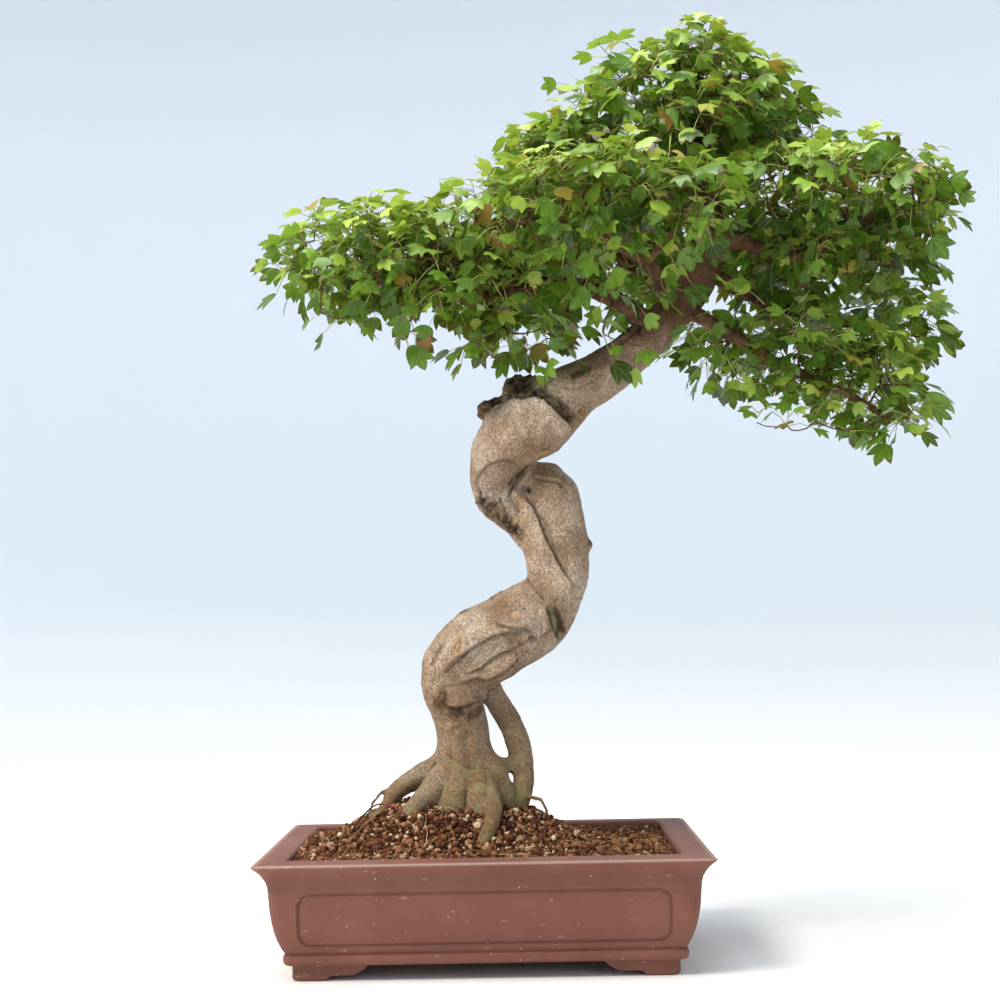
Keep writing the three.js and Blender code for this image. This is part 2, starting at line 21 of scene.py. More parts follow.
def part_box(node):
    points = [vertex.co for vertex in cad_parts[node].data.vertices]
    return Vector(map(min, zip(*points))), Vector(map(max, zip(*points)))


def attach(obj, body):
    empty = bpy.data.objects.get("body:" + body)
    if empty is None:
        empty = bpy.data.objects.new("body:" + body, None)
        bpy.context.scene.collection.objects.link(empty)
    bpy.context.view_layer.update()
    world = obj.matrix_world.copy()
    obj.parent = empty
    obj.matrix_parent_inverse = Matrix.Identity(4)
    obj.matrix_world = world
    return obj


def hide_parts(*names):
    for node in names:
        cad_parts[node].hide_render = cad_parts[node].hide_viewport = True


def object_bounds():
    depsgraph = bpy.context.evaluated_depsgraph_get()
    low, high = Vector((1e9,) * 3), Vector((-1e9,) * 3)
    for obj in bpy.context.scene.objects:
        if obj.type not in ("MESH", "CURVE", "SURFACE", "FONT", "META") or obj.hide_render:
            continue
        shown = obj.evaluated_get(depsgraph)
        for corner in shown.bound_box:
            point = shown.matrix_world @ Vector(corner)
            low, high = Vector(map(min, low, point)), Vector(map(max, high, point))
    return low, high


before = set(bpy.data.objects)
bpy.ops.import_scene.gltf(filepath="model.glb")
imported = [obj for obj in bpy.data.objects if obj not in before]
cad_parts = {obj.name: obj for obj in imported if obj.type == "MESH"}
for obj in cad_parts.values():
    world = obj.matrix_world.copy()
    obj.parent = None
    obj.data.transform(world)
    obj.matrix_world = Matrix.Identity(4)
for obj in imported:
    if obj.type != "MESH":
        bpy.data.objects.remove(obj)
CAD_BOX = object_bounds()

Array = np.ndarray
Object = bpy.types.Object
Material = bpy.types.Material
Node = bpy.types.Node
NodeTree = bpy.types.NodeTree
Adder = Callable[..., Node]
Profile = list[tuple[float, float]]

MM = 0.001
BODY = "root"
UP = np.array([0.0, 0.0, 1.0])

log = logging.getLogger("bonsai")


# ---- small tools


def linear(hex_colour: str) -> tuple[float, float, float, float]:
    """Turns an sRGB hex colour into a linear one.

    Args:
        hex_colour: the colour, such as "#875a4c".

    Returns:
        Its linear red, green, blue and alpha.
    """
    parts = [int(hex_colour[i:i + 2], 16) / 255 for i in (1, 3, 5)]
    bent = [p / 12.92 if p <= 0.04045 else ((p + 0.055) / 1.055) ** 2.4 for p in parts]
    return (*bent, 1.0)


def unit(vectors: Array) -> Array:
    """Vectors scaled to length one along their last axis."""
    length = np.linalg.norm(vectors, axis=-1, keepdims=True)
    return vectors / np.maximum(length, 1e-12)


def smooth_step(low: float, high: float, values: Array) -> Array:
    """0 below low, 1 above high, and 3t^2 - 2t^3 between."""
    t = np.clip((values - low) / (high - low), 0, 1)
    return t * t * (3 - 2 * t)


def lattice_noise(points: Array, pitch: float, seed: int) -> Array:
    """Smooth noise from -1 to 1.

    Each corner of a cubic lattice gets a random value from a hash of its whole-number place. A
    point takes the mean of its cell's eight corners, weighted by 3t^2 - 2t^3 along each axis.

    Args:
        points: (n, 3) places.
        pitch: distance between lattice corners, in metres.
        seed: changes the values.

    Returns:
        (n,) values.
    """
    place = points / pitch
    cell = np.floor(place).astype(np.int64)
    t = place - cell
    t = t * t * (3 - 2 * t)
    total = np.zeros(len(points))
    for corner in np.ndindex(2, 2, 2):
        key = (cell + corner) @ np.array([73856093, 19349663, 83492791]) + seed * 2654435761
        key = ((key ^ (key >> 13)) * 1274126177) & 0x7FFFFFFF
        key = ((key ^ (key >> 15)) * 2246822519) & 0x7FFFFFFF
        value = (key & 0xFFFF) / 32767.5 - 1
        total += value * np.prod(np.where(corner, t, 1 - t), axis=1)
    return total


def add_node(tree: NodeTree, kind: str, sockets: dict | list | None = None, **settings) -> Node:
    """Adds one shader node with its settings and links.

    Args:
        tree: the node tree it goes in.
        kind: the node's type, without ShaderNode in front.
        sockets: input names or numbers, each with a value, or with the output that feeds it, or
            with a node, whose first output in use feeds it. A list fills the first inputs.
        settings: the node's own properties; stops is a colour ramp's list of (place, hex colour).

    Returns:
        The node.
    """
    node = tree.nodes.new("ShaderNode" + kind)
    for place, hex_colour in settings.pop("stops", []):
        ramp = node.color_ramp.elements
        spare = ramp[0] if ramp[0].position == 0 and place == 0 else None
        element = spare or (ramp[-1] if place == 1 else ramp.new(place))
        element.color = linear(hex_colour)
    for name, value in settings.items():
        setattr(node, name, value)
    feeds = dict(enumerate(sockets)) if isinstance(sockets, list) else sockets or {}
    for name, value in feeds.items():
        if isinstance(value, Node):
            value = next(output for output in value.outputs if output.enabled)
        if isinstance(value, bpy.types.NodeSocket):
            tree.links.new(value, node.inputs[name])
        else:
            node.inputs[name].default_value = value
    return node


def new_material(name: str) -> tuple[Material, Adder, bpy.types.NodeSocket]:
    """Makes an empty node material.

    Args:
        name: the finish's name.

    Returns:
        The material, add_node for its tree, and the Object coordinates.
    """
    material = bpy.data.materials.new(name)
    material.use_nodes = True
    material.node_tree.nodes.clear()
    add = partial(add_node, material.node_tree)
    return material, add, add("TexCoord").outputs["Object"]


def add_piece(
    name: str, points: Array, faces: Sequence[Array], materials: Sequence[Material], smooth: bool = True
) -> Object:
    """Makes a mesh object at the origin from whole arrays.

    Args:
        name: the object's name.
        points: (n, 3) places in metres.
        faces: arrays of vertex numbers, one row a face; each array holds one number of corners.
        materials: the object's materials.
        smooth: shades it smooth.

    Returns:
        The object, in the scene.
    """
    mesh = bpy.data.meshes.new(name)
    corners = np.concatenate([f.ravel() for f in faces]).astype(np.int32)
    sizes = np.concatenate([np.full(len(f), f.shape[1]) for f in faces])
    mesh.vertices.add(len(points))
    mesh.vertices.foreach_set("co", points.astype(np.float32).ravel())
    mesh.loops.add(len(corners))
    mesh.loops.foreach_set("vertex_index", corners)
    mesh.polygons.add(len(sizes))
    mesh.polygons.foreach_set("loop_start", (np.cumsum(sizes) - sizes).astype(np.int32))
    mesh.polygons.foreach_set("use_smooth", np.full(len(sizes), smooth))
    mesh.update(calc_edges=True)
    for material in materials:
        mesh.materials.append(material)
    made = bpy.data.objects.new(name, mesh)
    bpy.context.scene.collection.objects.link(made)
    return made


def net(rows: int, columns: int, inwards: bool = False) -> list[Array]:
    """Joins rings of points, one above another, into a closed skin.

    The square at row r and column c has the corners (r, c), (r, c + 1), (r + 1, c + 1) and
    (r + 1, c), where the last column is followed by the first.

    Args:
        rows: how many rings there are.
        columns: how many points a ring has.
        inwards: turns every face round.

    Returns:
        The squares, the first ring's cap and the last ring's cap, as rows of point numbers.
    """
    grid = np.arange(rows * columns).reshape(rows, columns)
    right = np.roll(grid, -1, axis=1)
    if inwards:
        squares = np.stack([grid[:-1], grid[1:], right[1:], right[:-1]], -1)
        return [squares.reshape(-1, 4), grid[:1], grid[-1:, ::-1]]
    squares = np.stack([grid[:-1], right[:-1], right[1:], grid[1:]], -1)
    return [squares.reshape(-1, 4), grid[:1, ::-1], grid[-1:]]


def set_attribute(piece: Object, name: str, values: Array) -> None:
    """Gives a piece one number for each vertex."""
    attribute = piece.data.attributes.new(name, "FLOAT", "POINT")
    attribute.data.foreach_set("value", values.astype(np.float32))


def set_uv(piece: Object, name: str, values: Array) -> None:
    """Gives a piece a UV map.

    Args:
        piece: the piece.
        name: the map's name.
        values: (n, 2) values, one row for each vertex.
    """
    corner = np.zeros(len(piece.data.loops), np.int32)
    piece.data.loops.foreach_get("vertex_index", corner)
    piece.data.uv_layers.new(name=name).data.foreach_set("uv", values[corner].astype(np.float32).ravel())


def vectors(items: bpy.types.bpy_prop_collection, name: str) -> Array:
    """Reads one vector property of a mesh's elements.

    Args:
        items: the elements, such as a mesh's vertices.
        name: the property.

    Returns:
        (n, 3) values.
    """
    flat = np.zeros(len(items) * 3, np.float32)
    items.foreach_get(name, flat)
    return flat.reshape(-1, 3).astype(float)


def vertices_of(piece: Object) -> Array:
    """(n, 3) places of a piece's vertices."""
    return vectors(piece.data.vertices, "co")


def normals_of(piece: Object) -> Array:
    """(n, 3) vertex normals of a piece."""
    return vectors(piece.data.vertex_normals, "vector")


def set_vertices(piece: Object, points: Array) -> None:
    """Moves a piece's vertices to the given places."""
    piece.data.vertices.foreach_set("co", points.astype(np.float32).ravel())
    piece.data.update()


def shade_smooth(piece: Object) -> None:
    """Shades all of a piece's faces smooth."""
    piece.data.polygons.foreach_set("use_smooth", np.ones(len(piece.data.polygons), bool))


def tree_of(piece: Object) -> BVHTree:
    """A search tree over a piece's faces."""
    corners = [list(p.vertices) for p in piece.data.polygons]
    return BVHTree.FromPolygons([v.co for v in piece.data.vertices], corners)


def merged_copy(node: str, name: str) -> Object:
    """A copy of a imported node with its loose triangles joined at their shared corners.

    Args:
        node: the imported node.
        name: the copy's name.

    Returns:
        The copy, in the scene, without materials.
    """
    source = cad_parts[node]
    mesh = source.data.copy()
    mesh.materials.clear()
    copy = bpy.data.objects.new(name, mesh)
    bpy.context.scene.collection.objects.link(copy)
    weld = copy.modifiers.new("weld", "WELD")
    weld.merge_threshold = 0.02 * MM
    settle(copy)
    return copy


def settle(piece: Object) -> None:
    """Applies a piece's modifiers to its mesh.

    Args:
        piece: the piece, whose mesh is replaced.
    """
    graph = bpy.context.evaluated_depsgraph_get()
    mesh = bpy.data.meshes.new_from_object(piece.evaluated_get(graph))
    piece.modifiers.clear()
    piece.data = mesh


def sweep(centres: Array, radii: Array, chain: Array, sides: int) -> tuple[Array, list[Array]]:
    """Carries a round section along one or many paths.

    A ring's points are centre + radius (cos a * n + sin a * b). The tangent t is the sum of the
    steps to both neighbours. n is square to t and to the direction that the chain's tangents lean
    to least, the smallest eigenvector of the sum of t t^T, and b is t x n.

    Args:
        centres: (n, 3) points, one chain after another.
        radii: (n,) radii, or (n, sides) with one for each side.
        chain: (n,) number of the chain that each point is on.
        sides: points in a ring.

    Returns:
        The points, and the faces: walls, first caps and last caps.
    """
    same = chain[1:] == chain[:-1]
    step = np.where(same[:, None], np.diff(centres, axis=0), 0)
    tangent = np.zeros_like(centres)
    tangent[1:] += step
    tangent[:-1] += step
    tangent = unit(tangent)
    number = np.unique(chain, return_inverse=True)[1]
    spread = np.zeros((number.max() + 1, 3, 3))
    np.add.at(spread, number, tangent[:, :, None] * tangent[:, None, :])
    lean = np.linalg.eigh(spread)[1][:, :, 0][number]
    n = unit(np.cross(lean, tangent))
    b = np.cross(tangent, n)
    angle = 2 * math.pi * np.arange(sides) / sides
    reach = radii[:, None] if radii.ndim == 1 else radii
    ring = np.cos(angle)[:, None] * n[:, None] + np.sin(angle)[:, None] * b[:, None]
    points = (centres[:, None] + reach[:, :, None] * ring).reshape(-1, 3)
    side = np.arange(sides)
    near = np.flatnonzero(same)[:, None] * sides
    after = (side + 1) % sides
    walls = np.stack([near + side, near + after, near + sides + after, near + sides + side], -1)
    first = np.flatnonzero(np.r_[True, ~same])[:, None] * sides + side[::-1]
    last = np.flatnonzero(np.r_[~same, True])[:, None] * sides + side
    return points, [walls.reshape(-1, 4), first, last]


def smooth_path(stations: Array, spacing: float) -> Array:
    """Evenly spaced points on a Catmull-Rom curve through stations, for columns of any kind.

    Between stations p1 and p2 the curve is the cubic that leaves p1 along (p2 - p0) / 2 and meets
    p2 along (p3 - p1) / 2.

    Args:
        stations: (n, k) values; the first three columns are the place.
        spacing: distance between points, in metres.

    Returns:
        (m, k) values along the curve.
    """
    padded = np.vstack([2 * stations[0] - stations[1], stations, 2 * stations[-1] - stations[-2]])
    t = np.linspace(0, 1, 24, endpoint=False)[:, None]
    spans = []
    for p0, p1, p2, p3 in zip(padded, padded[1:], padded[2:], padded[3:]):
        bend = (2 * p0 - 5 * p1 + 4 * p2 - p3) * t**2 + (3 * p1 - p0 - 3 * p2 + p3) * t**3
        spans.append((2 * p1 + (p2 - p0) * t + bend) / 2)
    curve = np.vstack([*spans, stations[-1:]])
    length = np.r_[0, np.cumsum(np.linalg.norm(np.diff(curve[:, :3], axis=0), axis=1))]
    even = np.linspace(0, length[-1], max(2, round(length[-1] / spacing) + 1))
    return np.stack([np.interp(even, length, column) for column in curve.T], -1)


def ride_as(piece: Object, slot: str, *nodes: str) -> Object:
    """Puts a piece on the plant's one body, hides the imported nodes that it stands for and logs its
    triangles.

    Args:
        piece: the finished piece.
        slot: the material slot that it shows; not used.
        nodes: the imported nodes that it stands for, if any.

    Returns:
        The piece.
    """
    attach(piece, BODY)
    if nodes:
        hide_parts(*nodes)
    triangles = sum(len(p.vertices) - 2 for p in piece.data.polygons)
    log.info("%s: %d triangles", piece.name, triangles)
    return piece


# ---- finishes


@dataclass(frozen=True)
class Stoneware:
    """Unglazed red-brown stoneware, pressed and fired: matt, with a fine sandy grain, soft clouds of
    colour from the kiln, and pale specks and scuffs from handling."""

    clay: str = "#774b3d"
    dark_clay: str = "#653c2f"
    pale_clay: str = "#865c4c"
    scuff: str = "#cbb5a8"
    cloud_mm: float = 70
    grain_mm: float = 0.9
    speck_mm: float = 11
    roughness: float = 0.72

    def material(self) -> Material:
        """Builds the finish on Object coordinates; the attribute wear marks handled edges, and the
        attribute cavity darkens the grooves and the neck as painted shade.

        Returns:
            The material.
        """
        material, add, place = new_material("unglazed_stoneware")
        cloud = add("TexNoise", {"Vector": place, "Scale": 1 / (self.cloud_mm * MM), "Detail": 5})
        clay = add(
            "ValToRGB", {"Fac": cloud},
            stops=[(0, self.dark_clay), (0.5, self.clay), (1, self.pale_clay)],
        )
        grain = add("TexNoise", {"Vector": place, "Scale": 1 / (self.grain_mm * MM), "Detail": 3})
        sand = add("MapRange", [grain, 0.3, 0.75, 0.82, 1.16])
        # cavity: painted shade in the panel grooves, the groove above the bead and the neck under the lip
        cavity = add("Attribute", attribute_name="cavity").outputs["Fac"]
        dusk = add("MapRange", [cavity, 0, 1, 1, 0.72])
        both = add("Math", [sand, dusk], operation="MULTIPLY")
        sanded = add("Mix", {0: 1.0, 6: clay, 7: both}, data_type="RGBA", blend_type="MULTIPLY")
        cell = add("TexVoronoi", {"Vector": place, "Scale": 1 / (self.speck_mm * MM)})
        speck = add("MapRange", [cell.outputs["Distance"], 0.085, 0.05, 0, 1])
        chance = add("SeparateColor", {"Color": cell.outputs["Color"]})
        shown = add("Math", [chance.outputs["Red"], 0.62], operation="GREATER_THAN")
        specks = add("Math", [speck, shown], operation="MULTIPLY")
        rub = add("Mapping", {"Vector": place, "Scale": (60, 60, 190), "Rotation": (0.5, 0.4, 0)})
        scratch = add("TexNoise", {"Vector": rub, "Scale": 1.0, "Detail": 6})
        rubbed = add("MapRange", [scratch, 0.66, 0.8, 0, 0.45])
        wear = add("Attribute", attribute_name="wear").outputs["Fac"]
        worn = add("Math", [wear, 0.35], operation="MULTIPLY")
        marks = add("Math", [specks, rubbed], operation="MAXIMUM")
        pale = add("Math", [marks, worn], operation="ADD", use_clamp=True)
        colour = add("Mix", {0: pale, 6: sanded, 7: linear(self.scuff)}, data_type="RGBA")
        bump = add("Bump", {"Height": grain, "Distance": 0.25 * MM, "Strength": 0.5})
        shader = add("BsdfPrincipled", {
            "Base Color": colour, "Roughness": self.roughness, "Normal": bump,
            "IOR": 1.5, "Specular IOR Level": 0.35,
        })
        add("OutputMaterial", {"Surface": shader})
        return material


@dataclass(frozen=True)
class Akadama:
    """Fired clay granules: dry, crumbly and dusty, each a little different, with pale pumice."""

    # the darkest granules, and the bed's painted shade between the granules
    dark: str = "#2a1206"
    middle: str = "#683f2a"
    light: str = "#9b704d"
    pumice: str = "#d9c6a4"
    grit_mm: float = 0.8

    def material(self) -> Material:
        """Builds the finish; the attribute shade picks each granule's colour, and the bed's low value
        gives the near-black of painted shade in the gaps between granules.

        Returns:
            The material.
        """
        material, add, place = new_material("akadama_and_pumice")
        grit = add("TexNoise", {"Vector": place, "Scale": 1 / (self.grit_mm * MM), "Detail": 3})
        shade = add("Attribute", attribute_name="shade").outputs["Fac"]
        stir = add("MapRange", [grit, 0.2, 0.8, -0.1, 0.1])
        mixed = add("Math", [shade, stir], operation="ADD")
        colour = add("ValToRGB", {"Fac": mixed}, stops=[
            (0, self.dark), (0.4, self.middle), (0.72, self.light), (1, self.pumice),
        ])
        bump = add("Bump", {"Height": grit, "Distance": 0.5 * MM, "Strength": 0.8})
        shader = add("BsdfPrincipled", {
            "Base Color": colour, "Roughness": 0.95, "Normal": bump, "Specular IOR Level": 0.15,
        })
        add("OutputMaterial", {"Surface": shader})
        return material


@dataclass(frozen=True)
class Bark:
    """Maple bark. Old wood is thin-skinned and tan, peppered with dark pores; young wood is red-brown.
    Both are darker in their folds and hollows, which is painted shade, corky where they have cracked, and
    greened by algae low down."""

    name: str
    old: tuple[str, str, str] = ("#94775c", "#b39980", "#cfbda9")
    young: tuple[str, str, str] = ("#4f3324", "#6b4935", "#87644b")
    # fold: the colour of painted shade in folds, creases and holes
    fold: str = "#38261a"
    pore: str = "#4e3b28"
    cork: str = "#5d4428"
    algae: str = "#85845a"
    scar: str = "#bd9766"
    crack: str = "#2e1f13"
    low_tint: str = "#7f6541"
    blotch_mm: float = 55
    streak_mm: float = 9
    pore_mm: float = 1.7  # real pores are half as wide, too fine to show on a whole tree
    wrinkle_mm: float = 5.0
    crack_mm: float = 13
    low_height_mm: float = 320

    @staticmethod
    def lines(add: Adder, place: bpy.types.NodeSocket, size_mm: float, half: float) -> Node:
        """Winding lines where a noise crosses its middle value.

        Args:
            add: adds a node to the material.
            place: the coordinates.
            size_mm: the noise's size, so about the distance between lines.
            half: how far from the middle value a line fades out.

        Returns:
            The node that gives 1 on a line and 0 away from it.
        """
        noise = add("TexNoise", {"Vector": place, "Scale": 1 / (size_mm * MM), "Detail": 4})
        off = add("Math", [noise, 0.5], operation="SUBTRACT")
        apart = add("Math", [off], operation="ABSOLUTE")
        return add("MapRange", [apart, half, 0.2 * half, 0, 1])

    def material(self) -> Material:
        """Builds the finish; young, hollow, crust, lichen and scar are attributes from 0 to 1. On the
        trunk and limbs hollow is painted shade, mixed in with the fold colour.

        Returns:
            The material.
        """
        material, add, place = new_material(self.name)
        blotch = add("TexNoise", {
            "Vector": place, "Scale": 1 / (self.blotch_mm * MM), "Detail": 6, "Roughness": 0.62,
        })
        skins = [
            add("ValToRGB", {"Fac": blotch}, stops=[
                (0, warm), (0.36, warm), (0.5, tan), (0.66, pale), (1, pale),
            ])
            for warm, tan, pale in (self.old, self.young)
        ]
        height = add("SeparateXYZ", {"Vector": place})
        top = self.low_height_mm * MM
        low = add("MapRange", [height.outputs["Z"], top, 0.5 * top, 0, 0.85])
        based = add("Mix", {0: low, 6: skins[0], 7: linear(self.low_tint)}, data_type="RGBA")
        age = add("Attribute", attribute_name="young").outputs["Fac"]
        aged = add("Mix", {0: age, 6: based, 7: skins[1]}, data_type="RGBA")
        streak = add("TexNoise", {
            "Vector": place, "Scale": 1 / (self.streak_mm * MM), "Detail": 8, "Roughness": 0.7,
        })
        dapple = add("MapRange", [streak, 0.3, 0.7, 0.85, 1.14])
        dappled = add("Mix", {0: 1.0, 6: aged, 7: dapple}, data_type="RGBA", blend_type="MULTIPLY")
        pores = add("TexNoise", {"Vector": place, "Scale": 1 / (self.pore_mm * MM), "Detail": 2})
        dots = add("MapRange", [pores, 0.42, 0.72, 0, 0.6])
        peppered = add("Mix", {0: dots, 6: dappled, 7: linear(self.pore)}, data_type="RGBA")
        wrinkle = self.lines(add, place, self.wrinkle_mm, 0.05)
        faint = add("Math", [wrinkle, 0.54], operation="MULTIPLY")
        shown = add("Mix", {0: faint, 6: peppered, 7: linear(self.pore)}, data_type="RGBA")
        # hollow mixes in the fold colour: painted shade in the bark's folds, creases and holes
        for mark, hex_colour, most in (
            ("lichen", self.algae, 0.78), ("scar", self.scar, 0.6), ("crust", self.cork, 0.75),
            ("hollow", self.fold, 0.85),
        ):
            amount = add("Attribute", attribute_name=mark).outputs["Fac"]
            ragged = add("Math", [streak, 0.6, amount], operation="MULTIPLY_ADD")
            edge = add("MapRange", [ragged, 0.44, 1.1, 0, most])
            shown = add("Mix", {0: edge, 6: shown, 7: linear(hex_colour)}, data_type="RGBA")
        rough = add("Attribute", attribute_name="crust").outputs["Fac"]
        split = self.lines(add, place, self.crack_mm, 0.035)
        cracked = add("Math", [split, rough], operation="MULTIPLY", use_clamp=True)
        shown = add("Mix", {0: cracked, 6: shown, 7: linear(self.crack)}, data_type="RGBA")
        deep = add("MapRange", [rough, 0, 1, 0.5, 1.6])
        grainy = add("Math", [streak, deep], operation="MULTIPLY")
        relief = add("Math", [cracked, -1.5, grainy], operation="MULTIPLY_ADD")
        pitted = add("Math", [pores, -0.26, relief], operation="MULTIPLY_ADD")
        both = add("Math", [wrinkle, -0.16, pitted], operation="MULTIPLY_ADD")
        bump = add("Bump", {"Height": both, "Distance": 2.6 * MM, "Strength": 0.85})
        shader = add("BsdfPrincipled", {
            "Base Color": shown, "Roughness": 0.8, "Normal": bump, "Specular IOR Level": 0.25,
        })
        add("OutputMaterial", {"Surface": shader})
        return material


@dataclass(frozen=True)
class MapleLeaf:
    """A trident maple's summer leaf: thin, waxy above, light shows through it, with pale veins; the
    newest are yellow or coppery and some have scorched tips."""

    shade_green: str = "#18320f"
    green: str = "#5d8427"
    bright: str = "#a4bf49"
    yellow: str = "#c8cd68"
    copper: str = "#b0763f"
    vein: str = "#b4c877"
    scorch: str = "#4d2c16"
    lit_through: str = "#a9c62c"
    roughness: float = 0.36
    through: float = 0.27

    def material(self) -> Material:
        """Builds the finish on the leaf's own UV map, whose middle vein is u = 0.5.

        A lobe's vein is where the distance across it is small: |x| for the middle one, and
        |x| cos a - y sin a for the side ones. The attributes are tone, warmth and scorch. Tone is partly
        painted light and shade, lighter on a cloud's outside and top and darker inside, and partly the
        real darker green of shade leaves.

        Returns:
            The material.
        """
        material, add, place = new_material("maple_leaf")
        flat = add("UVMap", uv_map="leaf")
        part = add("SeparateXYZ", {"Vector": flat})
        x = add("Math", [part.outputs["X"], 0.5], operation="SUBTRACT")
        across = add("Math", [x], operation="ABSOLUTE")
        y = part.outputs["Y"]
        lobe = LeafShape.side_vein
        side_a = add("Math", [across, lobe[1]], operation="MULTIPLY")
        side_b = add("Math", [y, -lobe[0], side_a], operation="MULTIPLY_ADD")
        side = add("Math", [side_b], operation="ABSOLUTE")
        nearest = add("Math", [side, across], operation="MINIMUM")
        vein = add("MapRange", [nearest, 0.022, 0.005, 0, 0.34])
        tone = add("Attribute", attribute_name="tone").outputs["Fac"]
        mottle = add("TexNoise", {"Vector": place, "Scale": 110, "Detail": 4})
        stir = add("MapRange", [mottle, 0.25, 0.75, -0.1, 0.1])
        mixed = add("Math", [tone, stir], operation="ADD")
        colour = add("ValToRGB", {"Fac": mixed}, stops=[
            (0, self.shade_green), (0.4, self.green), (0.78, self.bright), (1, self.yellow),
        ])
        veined = add("Mix", {0: vein, 6: colour, 7: linear(self.vein)}, data_type="RGBA")
        warmth = add("Attribute", attribute_name="warmth").outputs["Fac"]
        warmed = add("Mix", {0: warmth, 6: veined, 7: linear(self.copper)}, data_type="RGBA")
        along_a = add("Math", [across, lobe[0]], operation="MULTIPLY")
        along_b = add("Math", [y, lobe[1], along_a], operation="MULTIPLY_ADD")
        side_way = add("Math", [along_b, LeafShape.side_length], operation="DIVIDE")
        middle_way = add("Math", [y, LeafShape.length], operation="DIVIDE")
        way = add("Math", [side_way, middle_way], operation="MAXIMUM")
        burnt = add("Attribute", attribute_name="scorch").outputs["Fac"]
        ragged = add("Math", [mottle, 0.35, way], operation="MULTIPLY_ADD")
        reach = add("Math", [burnt, ragged], operation="ADD")
        edge = add("MapRange", [reach, 1.26, 1.34, 0, 0.95])
        shown = add("Mix", {0: edge, 6: warmed, 7: linear(self.scorch)}, data_type="RGBA")
        height = add("Math", [vein, -1.0], operation="MULTIPLY")
        bump = add("Bump", {"Height": height, "Distance": 0.5 * MM, "Strength": 0.6})
        shader = add("BsdfPrincipled", {
            "Base Color": shown, "Roughness": self.roughness, "Normal": bump, "IOR": 1.45,
            "Specular IOR Level": 0.5,
        })
        thin = add("Mix", {0: 0.4, 6: shown, 7: linear(self.lit_through)}, data_type="RGBA")
        glow = add("BsdfTranslucent", {"Color": thin})
        mix = add("MixShader", [self.through, shader, glow])
        add("OutputMaterial", {"Surface": mix})
        return material


@dataclass(frozen=True)
class Plain:
    """A finish of one colour family with a fine grain: leaf stalks, dry litter, wire or plastic."""

    name: str
    light: str
    dark: str
    grain_mm: float
    roughness: float
    metallic: float = 0.0
    bump_mm: float = 0.1

    def material(self) -> Material:
        """Builds the finish on Object coordinates.

        Returns:
            The material.
        """
        material, add, place = new_material(self.name)
        grain = add("TexNoise", {"Vector": place, "Scale": 1 / (self.grain_mm * MM), "Detail": 4})
        colour = add("ValToRGB", {"Fac": grain}, stops=[
            (0, self.dark), (0.35, self.dark), (0.65, self.light), (1, self.light),
        ])
        bump = add("Bump", {"Height": grain, "Distance": self.bump_mm * MM, "Strength": 0.6})
        shader = add("BsdfPrincipled", {
            "Base Color": colour, "Roughness": self.roughness,
            "Metallic": self.metallic, "Normal": bump,
        })
        add("OutputMaterial", {"Surface": shader})
        return material


@dataclass(frozen=True)
class AnodisedWire:
    """Annealed aluminium wire with a coloured anodised skin: dark where it is in the shade of the
    roots, wine red where it runs down to the soil."""

    red: str = "#8e2f42"
    dark: str = "#2e2422"
    before_mm: float = 4
    after_mm: float = 8

    def material(self) -> Material:
        """Builds the finish on Object coordinates, with the colour changing along X.

        Returns:
            The material.
        """
        material, add, place = new_material("anodised_wire")
        along = add("SeparateXYZ", {"Vector": place})
        low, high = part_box("tie_wire")
        turn = (low.x + high.x) / 2
        share = add(
            "MapRange", [along.outputs["X"], turn - self.before_mm * MM, turn + self.after_mm * MM, 0, 1]
        )
        colour = add("Mix", {0: share, 6: linear(self.dark), 7: linear(self.red)}, data_type="RGBA")
        dust = add("TexNoise", {"Vector": place, "Scale": 900, "Detail": 3})
        gloss = add("MapRange", [dust, 0.3, 0.7, 0.3, 0.5])
        shader = add("BsdfPrincipled", {"Base Color": colour, "Roughness": gloss, "Metallic": 0.55})
        add("OutputMaterial", {"Surface": shader})
        return material


TRUNK_BARK = Bark("maple_trunk_bark")
BRANCH_BARK = Bark("maple_branch_bark", blotch_mm=14, streak_mm=5, low_height_mm=1)
LEAF_STALK = Plain("leaf_stalk", light="#a9b160", dark="#9a8a4c", grain_mm=30, roughness=0.5)
DRY_STRAW = Plain("dry_straw", light="#cdb894", dark="#8d7350", grain_mm=6, roughness=0.8)
CLIP_WIRE = Plain("clip_wire", light="#8d8a86", dark="#5d5a57", grain_mm=3, roughness=0.4, metallic=1.0)
MESH_PLASTIC = Plain("mesh_plastic", light="#2b3034", dark="#1d2124", grain_mm=2, roughness=0.55)


# ---- pot


